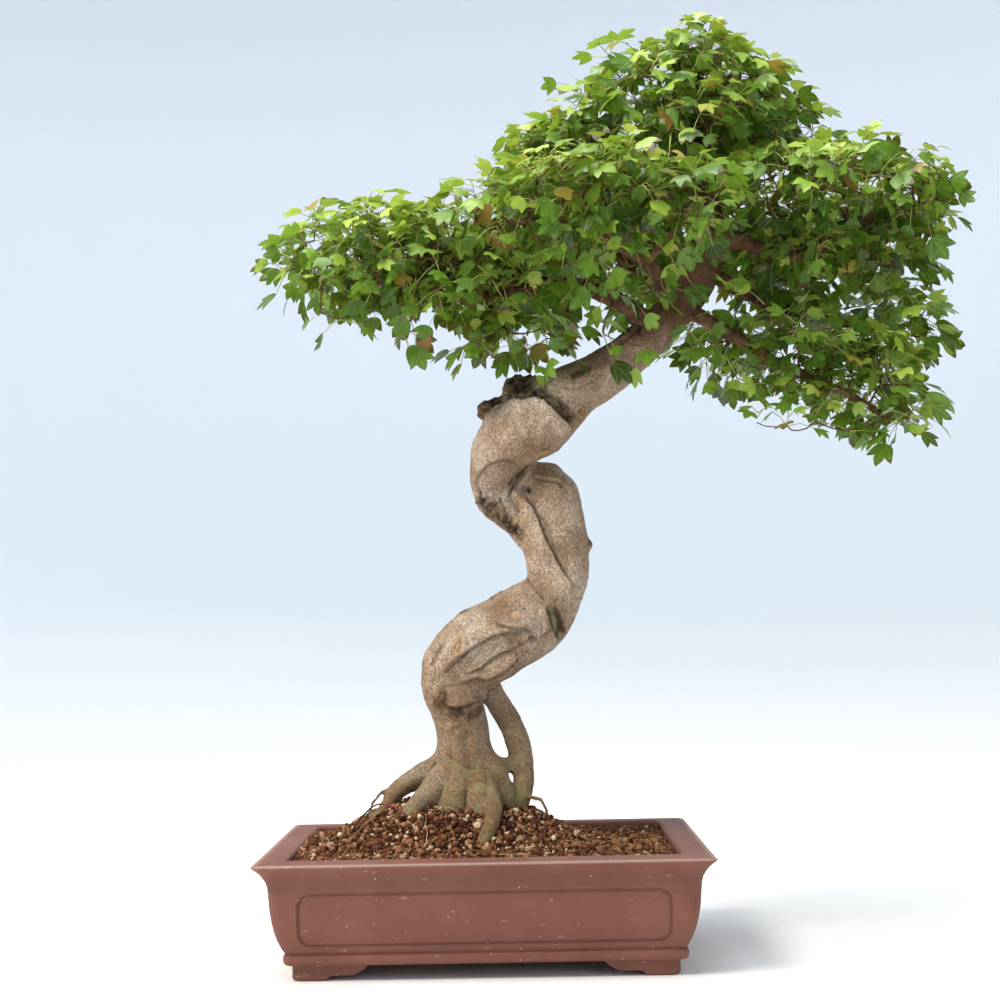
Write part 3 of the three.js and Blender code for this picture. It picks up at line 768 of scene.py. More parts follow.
@dataclass
class Pot:
    """The pot: a bellied rectangle with a flaring lip, a sunk panel in each wall, a bead along the
    foot of the walls, four cloud-shaped feet and holes for water and wire. Sizes in mm."""

    corner: float = 20
    corner_taper: float = 0.3
    lip_corner: float = 9.5
    rim_width: float = 34
    rim_edge: float = 128
    floor_top: float = 31
    underside: float = 17
    panel_low: float = 38
    panel_high: float = 97
    panel_margin: float = 48
    panel_corner: float = 15
    panel_depth: float = 1.7
    foot_inset: float = 38.5
    foot_length: float = 85
    foot_thickness: float = 26
    drain_radius: float = 14
    drain_x: float = 108
    wire_hole_radius: float = 4
    wire_hole_y: float = 41
    wire_holes_x: tuple[float, float] = (-157, -78)
    foot_corner: float = 12
    foot_round: float = 3
    hole_sides: int = 40
    sharp_from: float = 40  # degrees
    finish: Stoneware = field(default_factory=Stoneware)

    def __post_init__(self) -> None:
        """Reads the pot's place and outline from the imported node."""
        low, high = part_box("pot")
        self.length = (high.x - low.x) / MM
        self.width = (high.y - low.y) / MM
        self.middle = np.array([(low.x + high.x) / 2, (low.y + high.y) / 2, 0.0])

    @staticmethod
    def curve(start: tuple, bend: tuple, end: tuple, steps: int) -> Profile:
        """Points of (1-t)^2 start + 2t(1-t) bend + t^2 end, without the first.

        Args:
            start: the first point.
            bend: the point that the curve leans to.
            end: the last point.
            steps: how many points are made.

        Returns:
            The points.
        """
        t = np.linspace(0, 1, steps + 1)[1:, None]
        points = (1 - t) ** 2 * np.array(start) + 2 * t * (1 - t) * np.array(bend) + t**2 * np.array(end)
        return [tuple(p) for p in points]

    def profile(self) -> Profile:
        """The wall's section as (inset from the rim's edge, height): underside, bead, belly, neck,
        lip, rim top and the inner wall down to the floor.

        Returns:
            The points, from the middle of the underside round to the middle of the floor.
        """
        edge, rim = self.rim_edge, self.rim_width
        belly = self.curve((31, 31), (18, 52), (16, 88), 80)
        heights = np.r_[np.linspace(34, 58, 21), np.linspace(61, 76, 5), np.linspace(78, 88, 8)]
        insets = np.interp(heights, [z for _, z in belly], [i for i, _ in belly])
        return [
            (110, self.underside), (60, self.underside), (36.5, self.underside), (34.8, 17.1),
            *self.curve((34.8, 17.1), (30, 17.6), (29.8, 23.5), 7),
            *self.curve((29.8, 23.5), (29.7, 28.2), (31.6, 29), 6),
            *self.curve((31.6, 29), (32.6, 29.5), (31.2, 31), 4),
            *zip(insets, heights),
            *self.curve((16, 88), (15.6, 93), (15, 100), 10),
            *self.curve((15, 100), (13, 114), (1.4, edge - 3.4), 16),
            *self.curve((1.4, edge - 3.4), (0, edge - 2.2), (0.1, edge - 1.4), 4),
            *self.curve((0.1, edge - 1.4), (0.2, edge - 0.1), (2.4, edge + 0.25), 6),
            (8, edge + 0.6), (14, edge + 0.95), (20, edge + 1.25), (26, edge + 1.6), (30, edge + 1.85),
            *self.curve((30, edge + 1.85), (rim + 0.4, edge + 2), (rim + 0.9, edge - 2), 7),
            (rim + 1, edge - 12), (rim + 1, 108),
            *self.curve((rim + 1, 100), (rim + 2, 60), (42, 45), 8),
            *self.curve((42, 45), (48, self.floor_top), (66, self.floor_top), 8),
            (110, self.floor_top),
        ]

    def columns(self) -> Array:
        """Where the wall's columns stand: rows of (share of the straight half length, share of the
        straight half width, angle). They are crowded near the ends of the panels.

        Returns:
            (n, 3) columns, counter-clockwise.
        """
        def side(length: float) -> Array:
            """Shares along a straight wall, denser near both ends of its panel."""
            end = length / 2 - self.panel_margin
            near = np.linspace((end - 8) / (length / 2 - 31), (end + 3) / (length / 2 - 41), 28)
            plain = np.linspace(-near[0], near[0], round(near[0] * length / 6))[1:-1]
            return np.r_[-1, -near[::-1], plain, near]

        arc = np.linspace(0, 90, 13)[:-1]
        walls = (side(self.length), side(self.width))
        corners = ((1, 1), (-1, 1), (-1, -1), (1, -1))
        ways = ((-1, 0), (0, -1), (1, 0), (0, 1))
        rows = []
        for turn, (corner, way) in enumerate(zip(corners, ways)):
            shares = [np.full(len(arc), share) for share in corner]
            rows.append(np.stack([*shares, turn * 90.0 + arc], -1))
            along = walls[turn % 2]
            x, y = (along * w if w else np.full(len(along), share) for w, share in zip(way, corner))
            rows.append(np.stack([x, y, np.full(len(along), turn * 90.0 + 90)], -1))
        return np.vstack(rows)

    def panel_edge(self, points_mm: Array) -> Array:
        """How far inside the nearest panel's outline a point of the wall is, in mm: the corner's
        radius less the distance from the inner rectangle.

        Args:
            points_mm: (..., 3) places from the pot's middle, in mm.

        Returns:
            (...) distances in mm, negative outside the panels.
        """
        best = np.full(points_mm.shape[:-1], -99.0)
        middle = (self.panel_high + self.panel_low) / 2
        tall = (self.panel_high - self.panel_low) / 2 - self.panel_corner
        dz = np.maximum(np.abs(points_mm[..., 2] - middle) - tall, 0)
        for axis, length, depth in ((0, self.length, self.width), (1, self.width, self.length)):
            half = length / 2 - self.panel_margin - self.panel_corner
            dx = np.maximum(np.abs(points_mm[..., axis]) - half, 0)
            on_wall = np.abs(points_mm[..., 1 - axis]) > depth / 2 - 34
            best = np.where(on_wall, np.maximum(best, self.panel_corner - np.hypot(dx, dz)), best)
        return best

    def walls(self) -> tuple[Array, list[Array]]:
        """The pot's skin on a grid of columns by profile rows.

        A point is (sx (L/2 - i - r) + r cos a, sy (W/2 - i - r) + r sin a, z), where i is the row's
        inset, r the corner radius there, and sx, sy, a the column's. The panels are sunk by a depth
        that grows as 3t^2 - 2t^3 across the edge of a rounded rectangle on the wall, with a finer
        groove just inside it. A slow wave of under half a millimetre makes the walls look pressed by
        hand.

        Returns:
            Points in metres, and faces.
        """
        section = np.array(self.profile())
        column = self.columns()
        inset, height = section[:, :1], section[:, 1:]
        radius = self.corner - self.corner_taper * np.minimum(inset, self.rim_width)
        radius = np.where(height > 110, np.minimum(radius, self.lip_corner + 0.4 * inset), radius)
        angle = np.radians(column[:, 2])
        x = column[:, 0] * (self.length / 2 - inset - radius) + radius * np.cos(angle)
        y = column[:, 1] * (self.width / 2 - inset - radius) + radius * np.sin(angle)
        z = np.broadcast_to(height, x.shape)
        out = np.stack([np.cos(angle), np.sin(angle)], -1)
        rim_row = int(np.argmax(section[:, 1] > self.rim_edge))
        outside = ((np.arange(len(section)) < rim_row) & (section[:, 1] > self.floor_top - 1))[:, None]
        points = np.stack([x, y, z], -1)
        edge = self.panel_edge(points)
        sink = smooth_step(-0.6, 1.6, edge) + 0.7 * np.exp(-(((edge - 1.6) / 1.6) ** 2))
        wave = lattice_noise(points.reshape(-1, 3) * MM, 90 * MM, 5).reshape(x.shape)
        push = (0.45 * wave - self.panel_depth * sink) * outside
        points[..., :2] += push[..., None] * out
        return self.placed(points.reshape(-1, 3)), net(*x.shape)

    def placed(self, points_mm: Array) -> Array:
        """Millimetres from the pot's middle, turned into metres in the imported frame."""
        return points_mm * MM + self.middle

    def foot(self, sign_x: int, sign_y: int) -> Object:
        """One foot: an L-shaped foot with a cloud-shaped lower edge.

        The outer line runs along both walls round a corner of radius R, and the inner line is a
        mitred L. For a distance s from the corner the lower edge's height is flat to 38 mm, a
        quarter curve up to 5 mm, flat to 64 mm and a long curve up to the pot. The edge between the
        outside and the bottom is rounded by a quarter circle of 3 mm.

        Args:
            sign_x: 1 for the right feet and -1 for the left ones.
            sign_y: 1 for the back feet and -1 for the front ones.

        Returns:
            The foot.
        """
        radius, wide, bend = self.foot_corner, self.foot_thickness, self.foot_round
        leg = np.r_[
            np.linspace(self.foot_length, 64, 10), np.linspace(61, 46, 5),
            np.linspace(44.5, 38, 6), np.linspace(34, wide, 4),
        ]
        turn = np.radians(np.linspace(0, 90, 13))
        arc_x, arc_y = radius - radius * np.sin(turn), radius - radius * np.cos(turn)
        outer = np.vstack([
            np.stack([leg, np.zeros_like(leg)], -1), [[(wide + radius) / 2, 0]],
            np.stack([arc_x, arc_y], -1), [[0, (wide + radius) / 2]],
            np.stack([np.zeros_like(leg), leg[::-1]], -1),
        ])
        inner = np.maximum(outer, wide)
        along = np.maximum(np.maximum(outer[:, 0], outer[:, 1]), radius)
        edge = np.interp(
            along, (0, 38, 39.5, 42, 46, 64, 70, 78, 85), (0, 0, 2.6, 4.4, 5, 5, 6.4, 11, 17.6)
        )
        top = self.underside + 1.6
        way = unit(inner - outer + 1e-9)
        rows = [
            (outer, np.maximum(edge + bend, edge + (top - edge) * lift)) for lift in (1.0, 0.55, 0.3)
        ]
        for step in np.radians(np.linspace(0, 90, 6)):
            rows.append((outer + way * bend * (1 - np.cos(step)), edge + bend * (1 - np.sin(step))))
        rows += [(inner - way, edge), (inner, edge + 1), (inner, np.full(len(edge), top))]
        heights = [np.minimum(z, top) for _, z in rows]
        grid = np.stack([np.column_stack([xy, z]) for (xy, _), z in zip(rows, heights)], 1)
        corner = np.array([self.length / 2 - self.foot_inset, self.width / 2 - self.foot_inset])
        points = grid.reshape(-1, 3)
        points[:, :2] = (corner - points[:, :2]) * (sign_x, sign_y)
        piece = add_piece("foot", self.placed(points), net(*grid.shape[:2], inwards=True), [])
        tidy_solid(piece)
        return piece

    def cutter(self, x: float, y: float, radius: float) -> Object:
        """A round rod that cuts a hole through the pot's floor.

        Args:
            x: its place from the pot's middle, in mm.
            y: its place from the pot's middle, in mm.
            radius: its radius in mm.

        Returns:
            The rod.
        """
        centres = self.placed(np.array([[x, y, self.underside - 6], [x, y, self.floor_top + 6]]))
        points, faces = sweep(centres, np.full(2, radius * MM), np.zeros(2), self.hole_sides)
        return add_piece("cutter", points, faces, [])

    def build(self) -> Object:
        """Makes the pot: skin, feet joined on, holes cut, finish and wear.

        Returns:
            The pot.
        """
        points, faces = self.walls()
        piece = add_piece("stoneware_pot", points, faces, [])
        feet = [self.foot(sx, sy) for sx in (-1, 1) for sy in (-1, 1)]
        rods = []
        for sign in (-1, 1):
            rods.append(self.cutter(sign * self.drain_x, 0, self.drain_radius))
            rods += [
                self.cutter(sign * x, -sign * self.wire_hole_y, self.wire_hole_radius)
                for x in self.wire_holes_x
            ]
        for tools, operation in ((feet, "UNION"), (rods, "DIFFERENCE")):
            for tool in tools:
                cut = piece.modifiers.new("cut", "BOOLEAN")
                cut.operation = operation
                cut.solver = "MANIFOLD"
                cut.object = tool
            settle(piece)
            for tool in tools:
                bpy.data.objects.remove(tool)
        place = (vertices_of(piece) - self.middle) / MM
        half = np.array([self.length / 2, self.width / 2])
        side = (half - np.abs(place[:, :2])).min(1)
        set_attribute(piece, "wear", np.exp(-(((place[:, 2] - self.rim_edge) / 1.6) ** 2)) * (side < 4))
        # Painted shade: cavity darkens the groove round each panel, the groove above the bead and the neck
        # under the lip, as if in shadow.
        inside = self.panel_edge(place)
        cut = np.exp(-(((inside - 1.2) / 1.5) ** 2)) * (side > 3) * (place[:, 2] > self.floor_top)
        bead = np.exp(-(((place[:, 2] - 30.2) / 1.3) ** 2)) * (side > 28)
        neck = 0.4 * smooth_step(97, 103, place[:, 2]) * smooth_step(124, 112, place[:, 2]) * (side < 20)
        set_attribute(piece, "cavity", np.maximum.reduce([cut, bead, neck]))
        piece.data.materials.clear()
        piece.data.materials.append(self.finish.material())
        shade_smooth(piece)
        piece.data.set_sharp_from_angle(angle=math.radians(self.sharp_from))
        return ride_as(piece, "stoneware", "pot")


def tidy_solid(piece: Object) -> None:
    """Merges a closed piece's doubled points and turns its faces outwards.

    Args:
        piece: a closed piece.
    """
    work = bmesh.new()
    work.from_mesh(piece.data)
    bmesh.ops.remove_doubles(work, verts=work.verts, dist=0.005 * MM)
    bmesh.ops.dissolve_degenerate(work, edges=work.edges, dist=0.001 * MM)
    bmesh.ops.recalc_face_normals(work, faces=work.faces)
    work.to_mesh(piece.data)
    work.free()


# ---- soil


@dataclass
class Soil:
    """The soil: a bed painted dark as the shade between granules, with a layer of loose granules, and
    litter. Sizes in mm.
    """

    pot: Pot
    trunk: BVHTree
    level: float = 119
    rise: float = 56
    mound_x: float = -40
    mound_y: float = 10
    mound_half_length: float = 120
    mound_half_width: float = 95
    mound_power: float = 4.5
    pitch: float = 4.4
    bed_drop: float = 2.2
    grain: float = 2.4  # a granule's mean radius
    grain_range: tuple[float, float] = (1.2, 4.8)
    stalks: int = 22
    hairs: int = 52
    tube_points: int = 9
    seed: int = 11
    finish: Akadama = field(default_factory=Akadama)

    def height(self, x: Array, y: Array) -> Array:
        """The surface: level + rise / (1 + d^power), where d^2 = (x/a)^2 + (y/b)^2 from the mound's
        middle.

        Args:
            x: (n,) places from the pot's middle, in mm.
            y: (n,) places from the pot's middle, in mm.

        Returns:
            (n,) heights in mm.
        """
        along = (x - self.mound_x) / self.mound_half_length
        across = (y - self.mound_y) / self.mound_half_width
        d = np.hypot(along, across)
        return self.level + self.rise / (1 + d**self.mound_power)

    def bed(self, material: Material) -> Object:
        """The closed bed under the granules, coloured near black as painted shade in the gaps between them.

        Rings of the pot's inside shrink towards the mound's middle: ring k is the outline times
        (1 - k) plus the middle times k. The lowest ring closes the bottom.

        Args:
            material: the granules' finish.

        Returns:
            The bed.
        """
        pot = self.pot
        column = pot.columns()[::3]
        inset = pot.rim_width + 1.8
        radius = pot.corner - pot.corner_taper * pot.rim_width
        angle = np.radians(column[:, 2])
        outline = np.stack([
            column[:, 0] * (pot.length / 2 - inset - radius) + radius * np.cos(angle),
            column[:, 1] * (pot.width / 2 - inset - radius) + radius * np.sin(angle),
        ], -1)
        rings = [
            np.column_stack([outline * share, np.full(len(outline), z)])
            for share, z in ((0.88, 38), (0.955, 46), (0.985, 75))
        ]
        for k in np.linspace(0, 0.985, 60):
            flat = outline * (1 - k) + np.array([self.mound_x, self.mound_y]) * k
            rings.append(np.column_stack([flat, self.height(*flat.T) - self.bed_drop]))
        points = np.vstack(rings)
        placed = pot.placed(points)
        placed[len(outline) * 4:, 2] += 0.8 * MM * lattice_noise(placed[len(outline) * 4:], 6 * MM, 3)
        piece = add_piece("soil_bed", placed, net(len(rings), len(outline)), [material])
        # Painted shade: the bed's low value colours it near black, standing in for the shade in the gaps
        # between granules.
        set_attribute(piece, "shade", np.full(len(points), 0.06))
        return ride_as(piece, "akadama", "soil")

    def spots(self, rng: np.random.Generator) -> Array:
        """Places for granules: a hexagonal grid with each point moved by up to a third of the pitch,
        and about a fifth of them again a little higher, without those that would be in the wood.

        Args:
            rng: the source of randomness.

        Returns:
            (n, 3) places in metres.
        """
        half_x = self.pot.length / 2 - self.pot.rim_width - 3.5
        half_y = self.pot.width / 2 - self.pot.rim_width - 3.5
        rows = np.arange(-half_y, half_y, self.pitch * math.sqrt(3) / 2)
        columns = np.arange(-half_x, half_x, self.pitch)
        x, y = np.meshgrid(columns, rows)
        x[1::2] += self.pitch / 2
        flat = np.stack([x.ravel(), y.ravel()], -1) + rng.uniform(-1, 1, (x.size, 2)) * self.pitch / 3
        extra = flat[rng.random(len(flat)) < 0.22] + rng.uniform(-1, 1, 2)
        flat = np.clip(np.vstack([flat, extra]), [-half_x, -half_y], [half_x, half_y])
        lift = np.r_[rng.uniform(-1.4, 0.6, x.size), rng.uniform(1.2, 3.0, len(extra))]
        points = np.column_stack([flat, self.height(*flat.T) + lift])
        placed = self.pot.placed(points)
        clear = np.array([not is_inside(self.trunk, p, 1.2 * MM) for p in placed])
        return placed[clear]

    def granules(self, material: Material) -> Object:
        """All granules as one mesh: icosahedra turned at random, each corner pulled in or out by up
        to a quarter, and each stretched along its own axes.

        Args:
            material: their finish.

        Returns:
            The granules.
        """
        rng = np.random.default_rng(self.seed)
        place = self.spots(rng)
        corners, triangles = icosahedron()
        count = len(place)
        turn = random_turns(rng, count)
        size = rng.gamma(5, self.grain / 5, (count, 1, 1)).clip(*self.grain_range) * MM
        stretch = rng.uniform(0.78, 1.2, (count, 1, 3))
        lumpy = rng.uniform(0.76, 1.16, (count, len(corners), 1))
        points = np.einsum("nij,nkj->nki", turn, corners[None] * stretch * lumpy * size)
        points = (points + place[:, None]).reshape(-1, 3)
        faces = (triangles[None] + (np.arange(count) * len(corners))[:, None, None]).reshape(-1, 3)
        middle = self.pot.placed(np.array([[self.mound_x, self.mound_y, 0.0]]))[0]
        near = np.exp(-((np.linalg.norm((place - middle)[:, :2], axis=1) / (110 * MM)) ** 2))
        shade = rng.normal(0.4, 0.19, count).clip(0.02, 0.74)
        pale = rng.random(count) < 0.06 + 0.16 * near
        shade = np.where(pale, rng.uniform(0.7, 1.0, count), shade)
        piece = add_piece("soil_granules", points, [faces], [material], smooth=False)
        set_attribute(piece, "shade", np.repeat(shade, len(corners)))
        return ride_as(piece, "akadama")

    def litter(self) -> Object:
        """Dry stalks and root hairs lying on the granules: thin tubes whose paths wander sideways
        as a sum of two sines, a few millimetres over the surface.

        Returns:
            The litter.
        """
        rng = np.random.default_rng(self.seed + 1)
        centres, radii, chain = [], [], []
        for number in range(self.stalks + self.hairs):
            hair = number >= self.stalks
            length = rng.uniform(10, 26) if hair else rng.uniform(16, 46)
            t = np.linspace(-0.5, 0.5, self.tube_points)
            wander = rng.uniform(1.5, 4) if hair else rng.uniform(0.2, 1.6)
            across = wander * np.sin(t * rng.uniform(4, 11) + rng.uniform(0, 6))
            turn = rng.uniform(0, 2 * math.pi)
            along = np.array([math.cos(turn), math.sin(turn)])
            side = np.array([-along[1], along[0]])
            spot = rng.uniform([-195, -138], [195, 138])
            flat = spot + t[:, None] * length * along + across[:, None] * side
            flat = np.clip(flat, [-212, -147], [212, 147])
            lift = 2.6 + rng.uniform(0, 1.2) + rng.uniform(0, 4) * t * (rng.random() < 0.4)
            placed = self.pot.placed(np.column_stack([flat, self.height(*flat.T) + lift]))
            if any(is_inside(self.trunk, p, 1 * MM) for p in placed):
                continue
            centres.append(placed)
            radii.append(np.full(len(t), (0.28 if hair else rng.uniform(0.4, 0.75)) * MM))
            chain.append(np.full(len(t), number))
        points, faces = sweep(np.vstack(centres), np.concatenate(radii), np.concatenate(chain), 5)
        piece = add_piece("soil_litter", points, faces, [DRY_STRAW.material()])
        return ride_as(piece, "akadama")

    def build(self) -> None:
        """Makes the bed, the granules and the litter."""
        material = self.finish.material()
        self.bed(material)
        self.granules(material)
        self.litter()


def is_inside(tree: BVHTree, point: Array, margin: float) -> bool:
    """True if a point is inside a closed shape, or less than margin outside it."""
    near, normal, _, distance = tree.find_nearest(Vector(point))
    return (Vector(point) - near).dot(normal) < 0 or distance < margin


def icosahedron() -> tuple[Array, Array]:
    """The twelve corners and twenty faces of an icosahedron of radius one: the corners are the
    even turns of (0, 1, golden ratio), and the faces are the triples of corners that are close.

    Returns:
        (12, 3) corners, and (20, 3) faces as corner numbers.
    """
    golden = (1 + math.sqrt(5)) / 2
    base = [(0, a, b * golden) for a in (-1, 1) for b in (-1, 1)]
    corners = np.array([np.roll(p, k) for k in range(3) for p in base])
    close = np.abs(np.linalg.norm(corners[:, None] - corners[None], axis=-1) - 2) < 0.01
    triples = [
        (i, j, k) for i in range(12) for j in range(i + 1, 12) for k in range(j + 1, 12)
        if close[i, j] and close[j, k] and close[i, k]
    ]
    faces = np.array(triples)
    a, b, c = (corners[faces[:, k]] for k in range(3))
    wrong = np.einsum("ij,ij->i", np.cross(b - a, c - a), a) < 0
    faces[wrong] = faces[wrong][:, ::-1]
    return unit(corners), faces


def random_turns(rng: np.random.Generator, count: int) -> Array:
    """Random rotations as (count, 3, 3), from unit quaternions.

    Args:
        rng: the source of randomness.
        count: how many are made.

    Returns:
        The rotation matrices.
    """
    w, x, y, z = unit(rng.normal(size=(count, 4))).T
    return np.stack([
        np.stack([1 - 2 * (y * y + z * z), 2 * (x * y - w * z), 2 * (x * z + w * y)], -1),
        np.stack([2 * (x * y + w * z), 1 - 2 * (x * x + z * z), 2 * (y * z - w * x)], -1),
        np.stack([2 * (x * z - w * y), 2 * (y * z + w * x), 1 - 2 * (x * x + y * y)], -1),
    ], 1)


# ---- trunk


class Mark(Enum):
    """What a mark on the bark is."""

    RIDGE = auto()
    VALLEY = auto()
    FOLD = auto()
    CREVICE = auto()
    PIT = auto()
    SCAR = auto()
    RINGS = auto()
    BURR = auto()
    CRUST = auto()


@dataclass(frozen=True)
class BarkMark:
    """One mark along a line on the trunk. The line is (x, z) in mm from the pot's middle, seen from
    the front, or through the trunk onto its back. width is the half width and height how far the
    bark stands out or in, in mm. A fold's raised side is on the left of its line."""

    kind: Mark
    line: Profile
    width: float
    height: float
    back: bool = False

    def profile(self, d: Array, side: Array, points: Array) -> tuple[Array, dict[str, Array]]:
        """How far the bark moves out, and its attributes.

        With w the width, h the height, d the distance from the line and g = exp(-(d/w)^2): a ridge
        is h g and a valley -h g. A fold rises by 1.6 h across its line, falls away behind as
        exp(-side / 2.2 w) and has a dark foot of painted shadow. A crevice is a flat-bottomed groove with
        raised edges, a pit is a dark round hole, a scar a shallow dent, rings are waves that fade as g, a
        burr is a lumpy knob, and a crust is lumps and holes. The darkness in hollow is painted shade: in a
        valley, at a fold's foot, along a crevice's sides and in the dips of its floor, in a pit, round a
        scar's rim, in the troughs of rings, in a burr's dips, and over a crust and in its holes.

        Args:
            d: (n,) distances from the line in mm.
            side: (n,) signed distances, positive on the line's left, in mm.
            points: (n, 3) places, for the lumps.

        Returns:
            The move in mm, and the attributes that change, by name.
        """
        w, h = self.width, self.height
        g = np.exp(-((d / w) ** 2))
        lip = np.exp(-(((d - 2 * w) / w) ** 2))
        lumps = lattice_noise(points, 4.6 * MM, 21) + 0.8 * lattice_noise(points, 9 * MM, 22)
        # In each case, hollow is painted shade where the bark's shape would be shadowed.
        match self.kind:
            case Mark.RIDGE:
                return h * g, {}
            case Mark.VALLEY:
                return -h * g, {"hollow": 0.16 * g}
            case Mark.FOLD:
                across = np.exp(-((np.maximum(d - np.abs(side), 0) / w) ** 2))
                raised = smooth_step(-0.4 * w, 0.3 * w, side) * np.exp(-np.maximum(side, 0) / (2.2 * w))
                foot = np.exp(-(((side + 0.5 * w) / (0.4 * w)) ** 2))
                return 1.6 * across * h * (raised - 0.5 * foot), {"hollow": 0.48 * foot * across}
            case Mark.CREVICE:
                flat = smooth_step(1.5 * w, 0.8 * w, d)
                rim = np.exp(-(((d - 1.2 * w) / (0.55 * w)) ** 2))
                return h * (0.5 * lip - flat + 0.3 * lumps * flat), {
                    "hollow": 0.8 * rim + 0.5 * flat * smooth_step(0.0, -0.7, lumps), "lichen": flat,
                }
            case Mark.PIT:
                return h * (0.35 * lip - g), {"hollow": 0.6 * g}
            case Mark.SCAR:
                rim = np.exp(-(((d - 1.5 * w) / (0.4 * w)) ** 2))
                return h * (0.4 * lip - 0.6 * g), {"scar": g, "hollow": 0.4 * rim}
            case Mark.RINGS:
                wave = np.cos(2 * math.pi * d / (0.72 * w))
                eye = np.exp(-((d / (0.42 * w)) ** 2))
                return h * (wave + 0.7) * g, {
                    "scar": 0.6 * g + 0.5 * eye, "hollow": 0.55 * g * (wave < -0.2),
                }
            case Mark.BURR:
                return h * g + 0.4 * h * lumps * g, {
                    "crust": 0.55 * g, "hollow": 0.5 * g * (lumps < -0.5),
                }
            case Mark.CRUST:
                holes = smooth_step(-0.1, -1.0, lumps) * g
                patchy = g * (0.9 + 0.5 * lattice_noise(points, 13 * MM, 23))
                return h * (0.6 * g + 1.2 * lumps * g), {
                    "crust": 1.2 * patchy, "hollow": 0.28 * g + 0.7 * holes,
                }


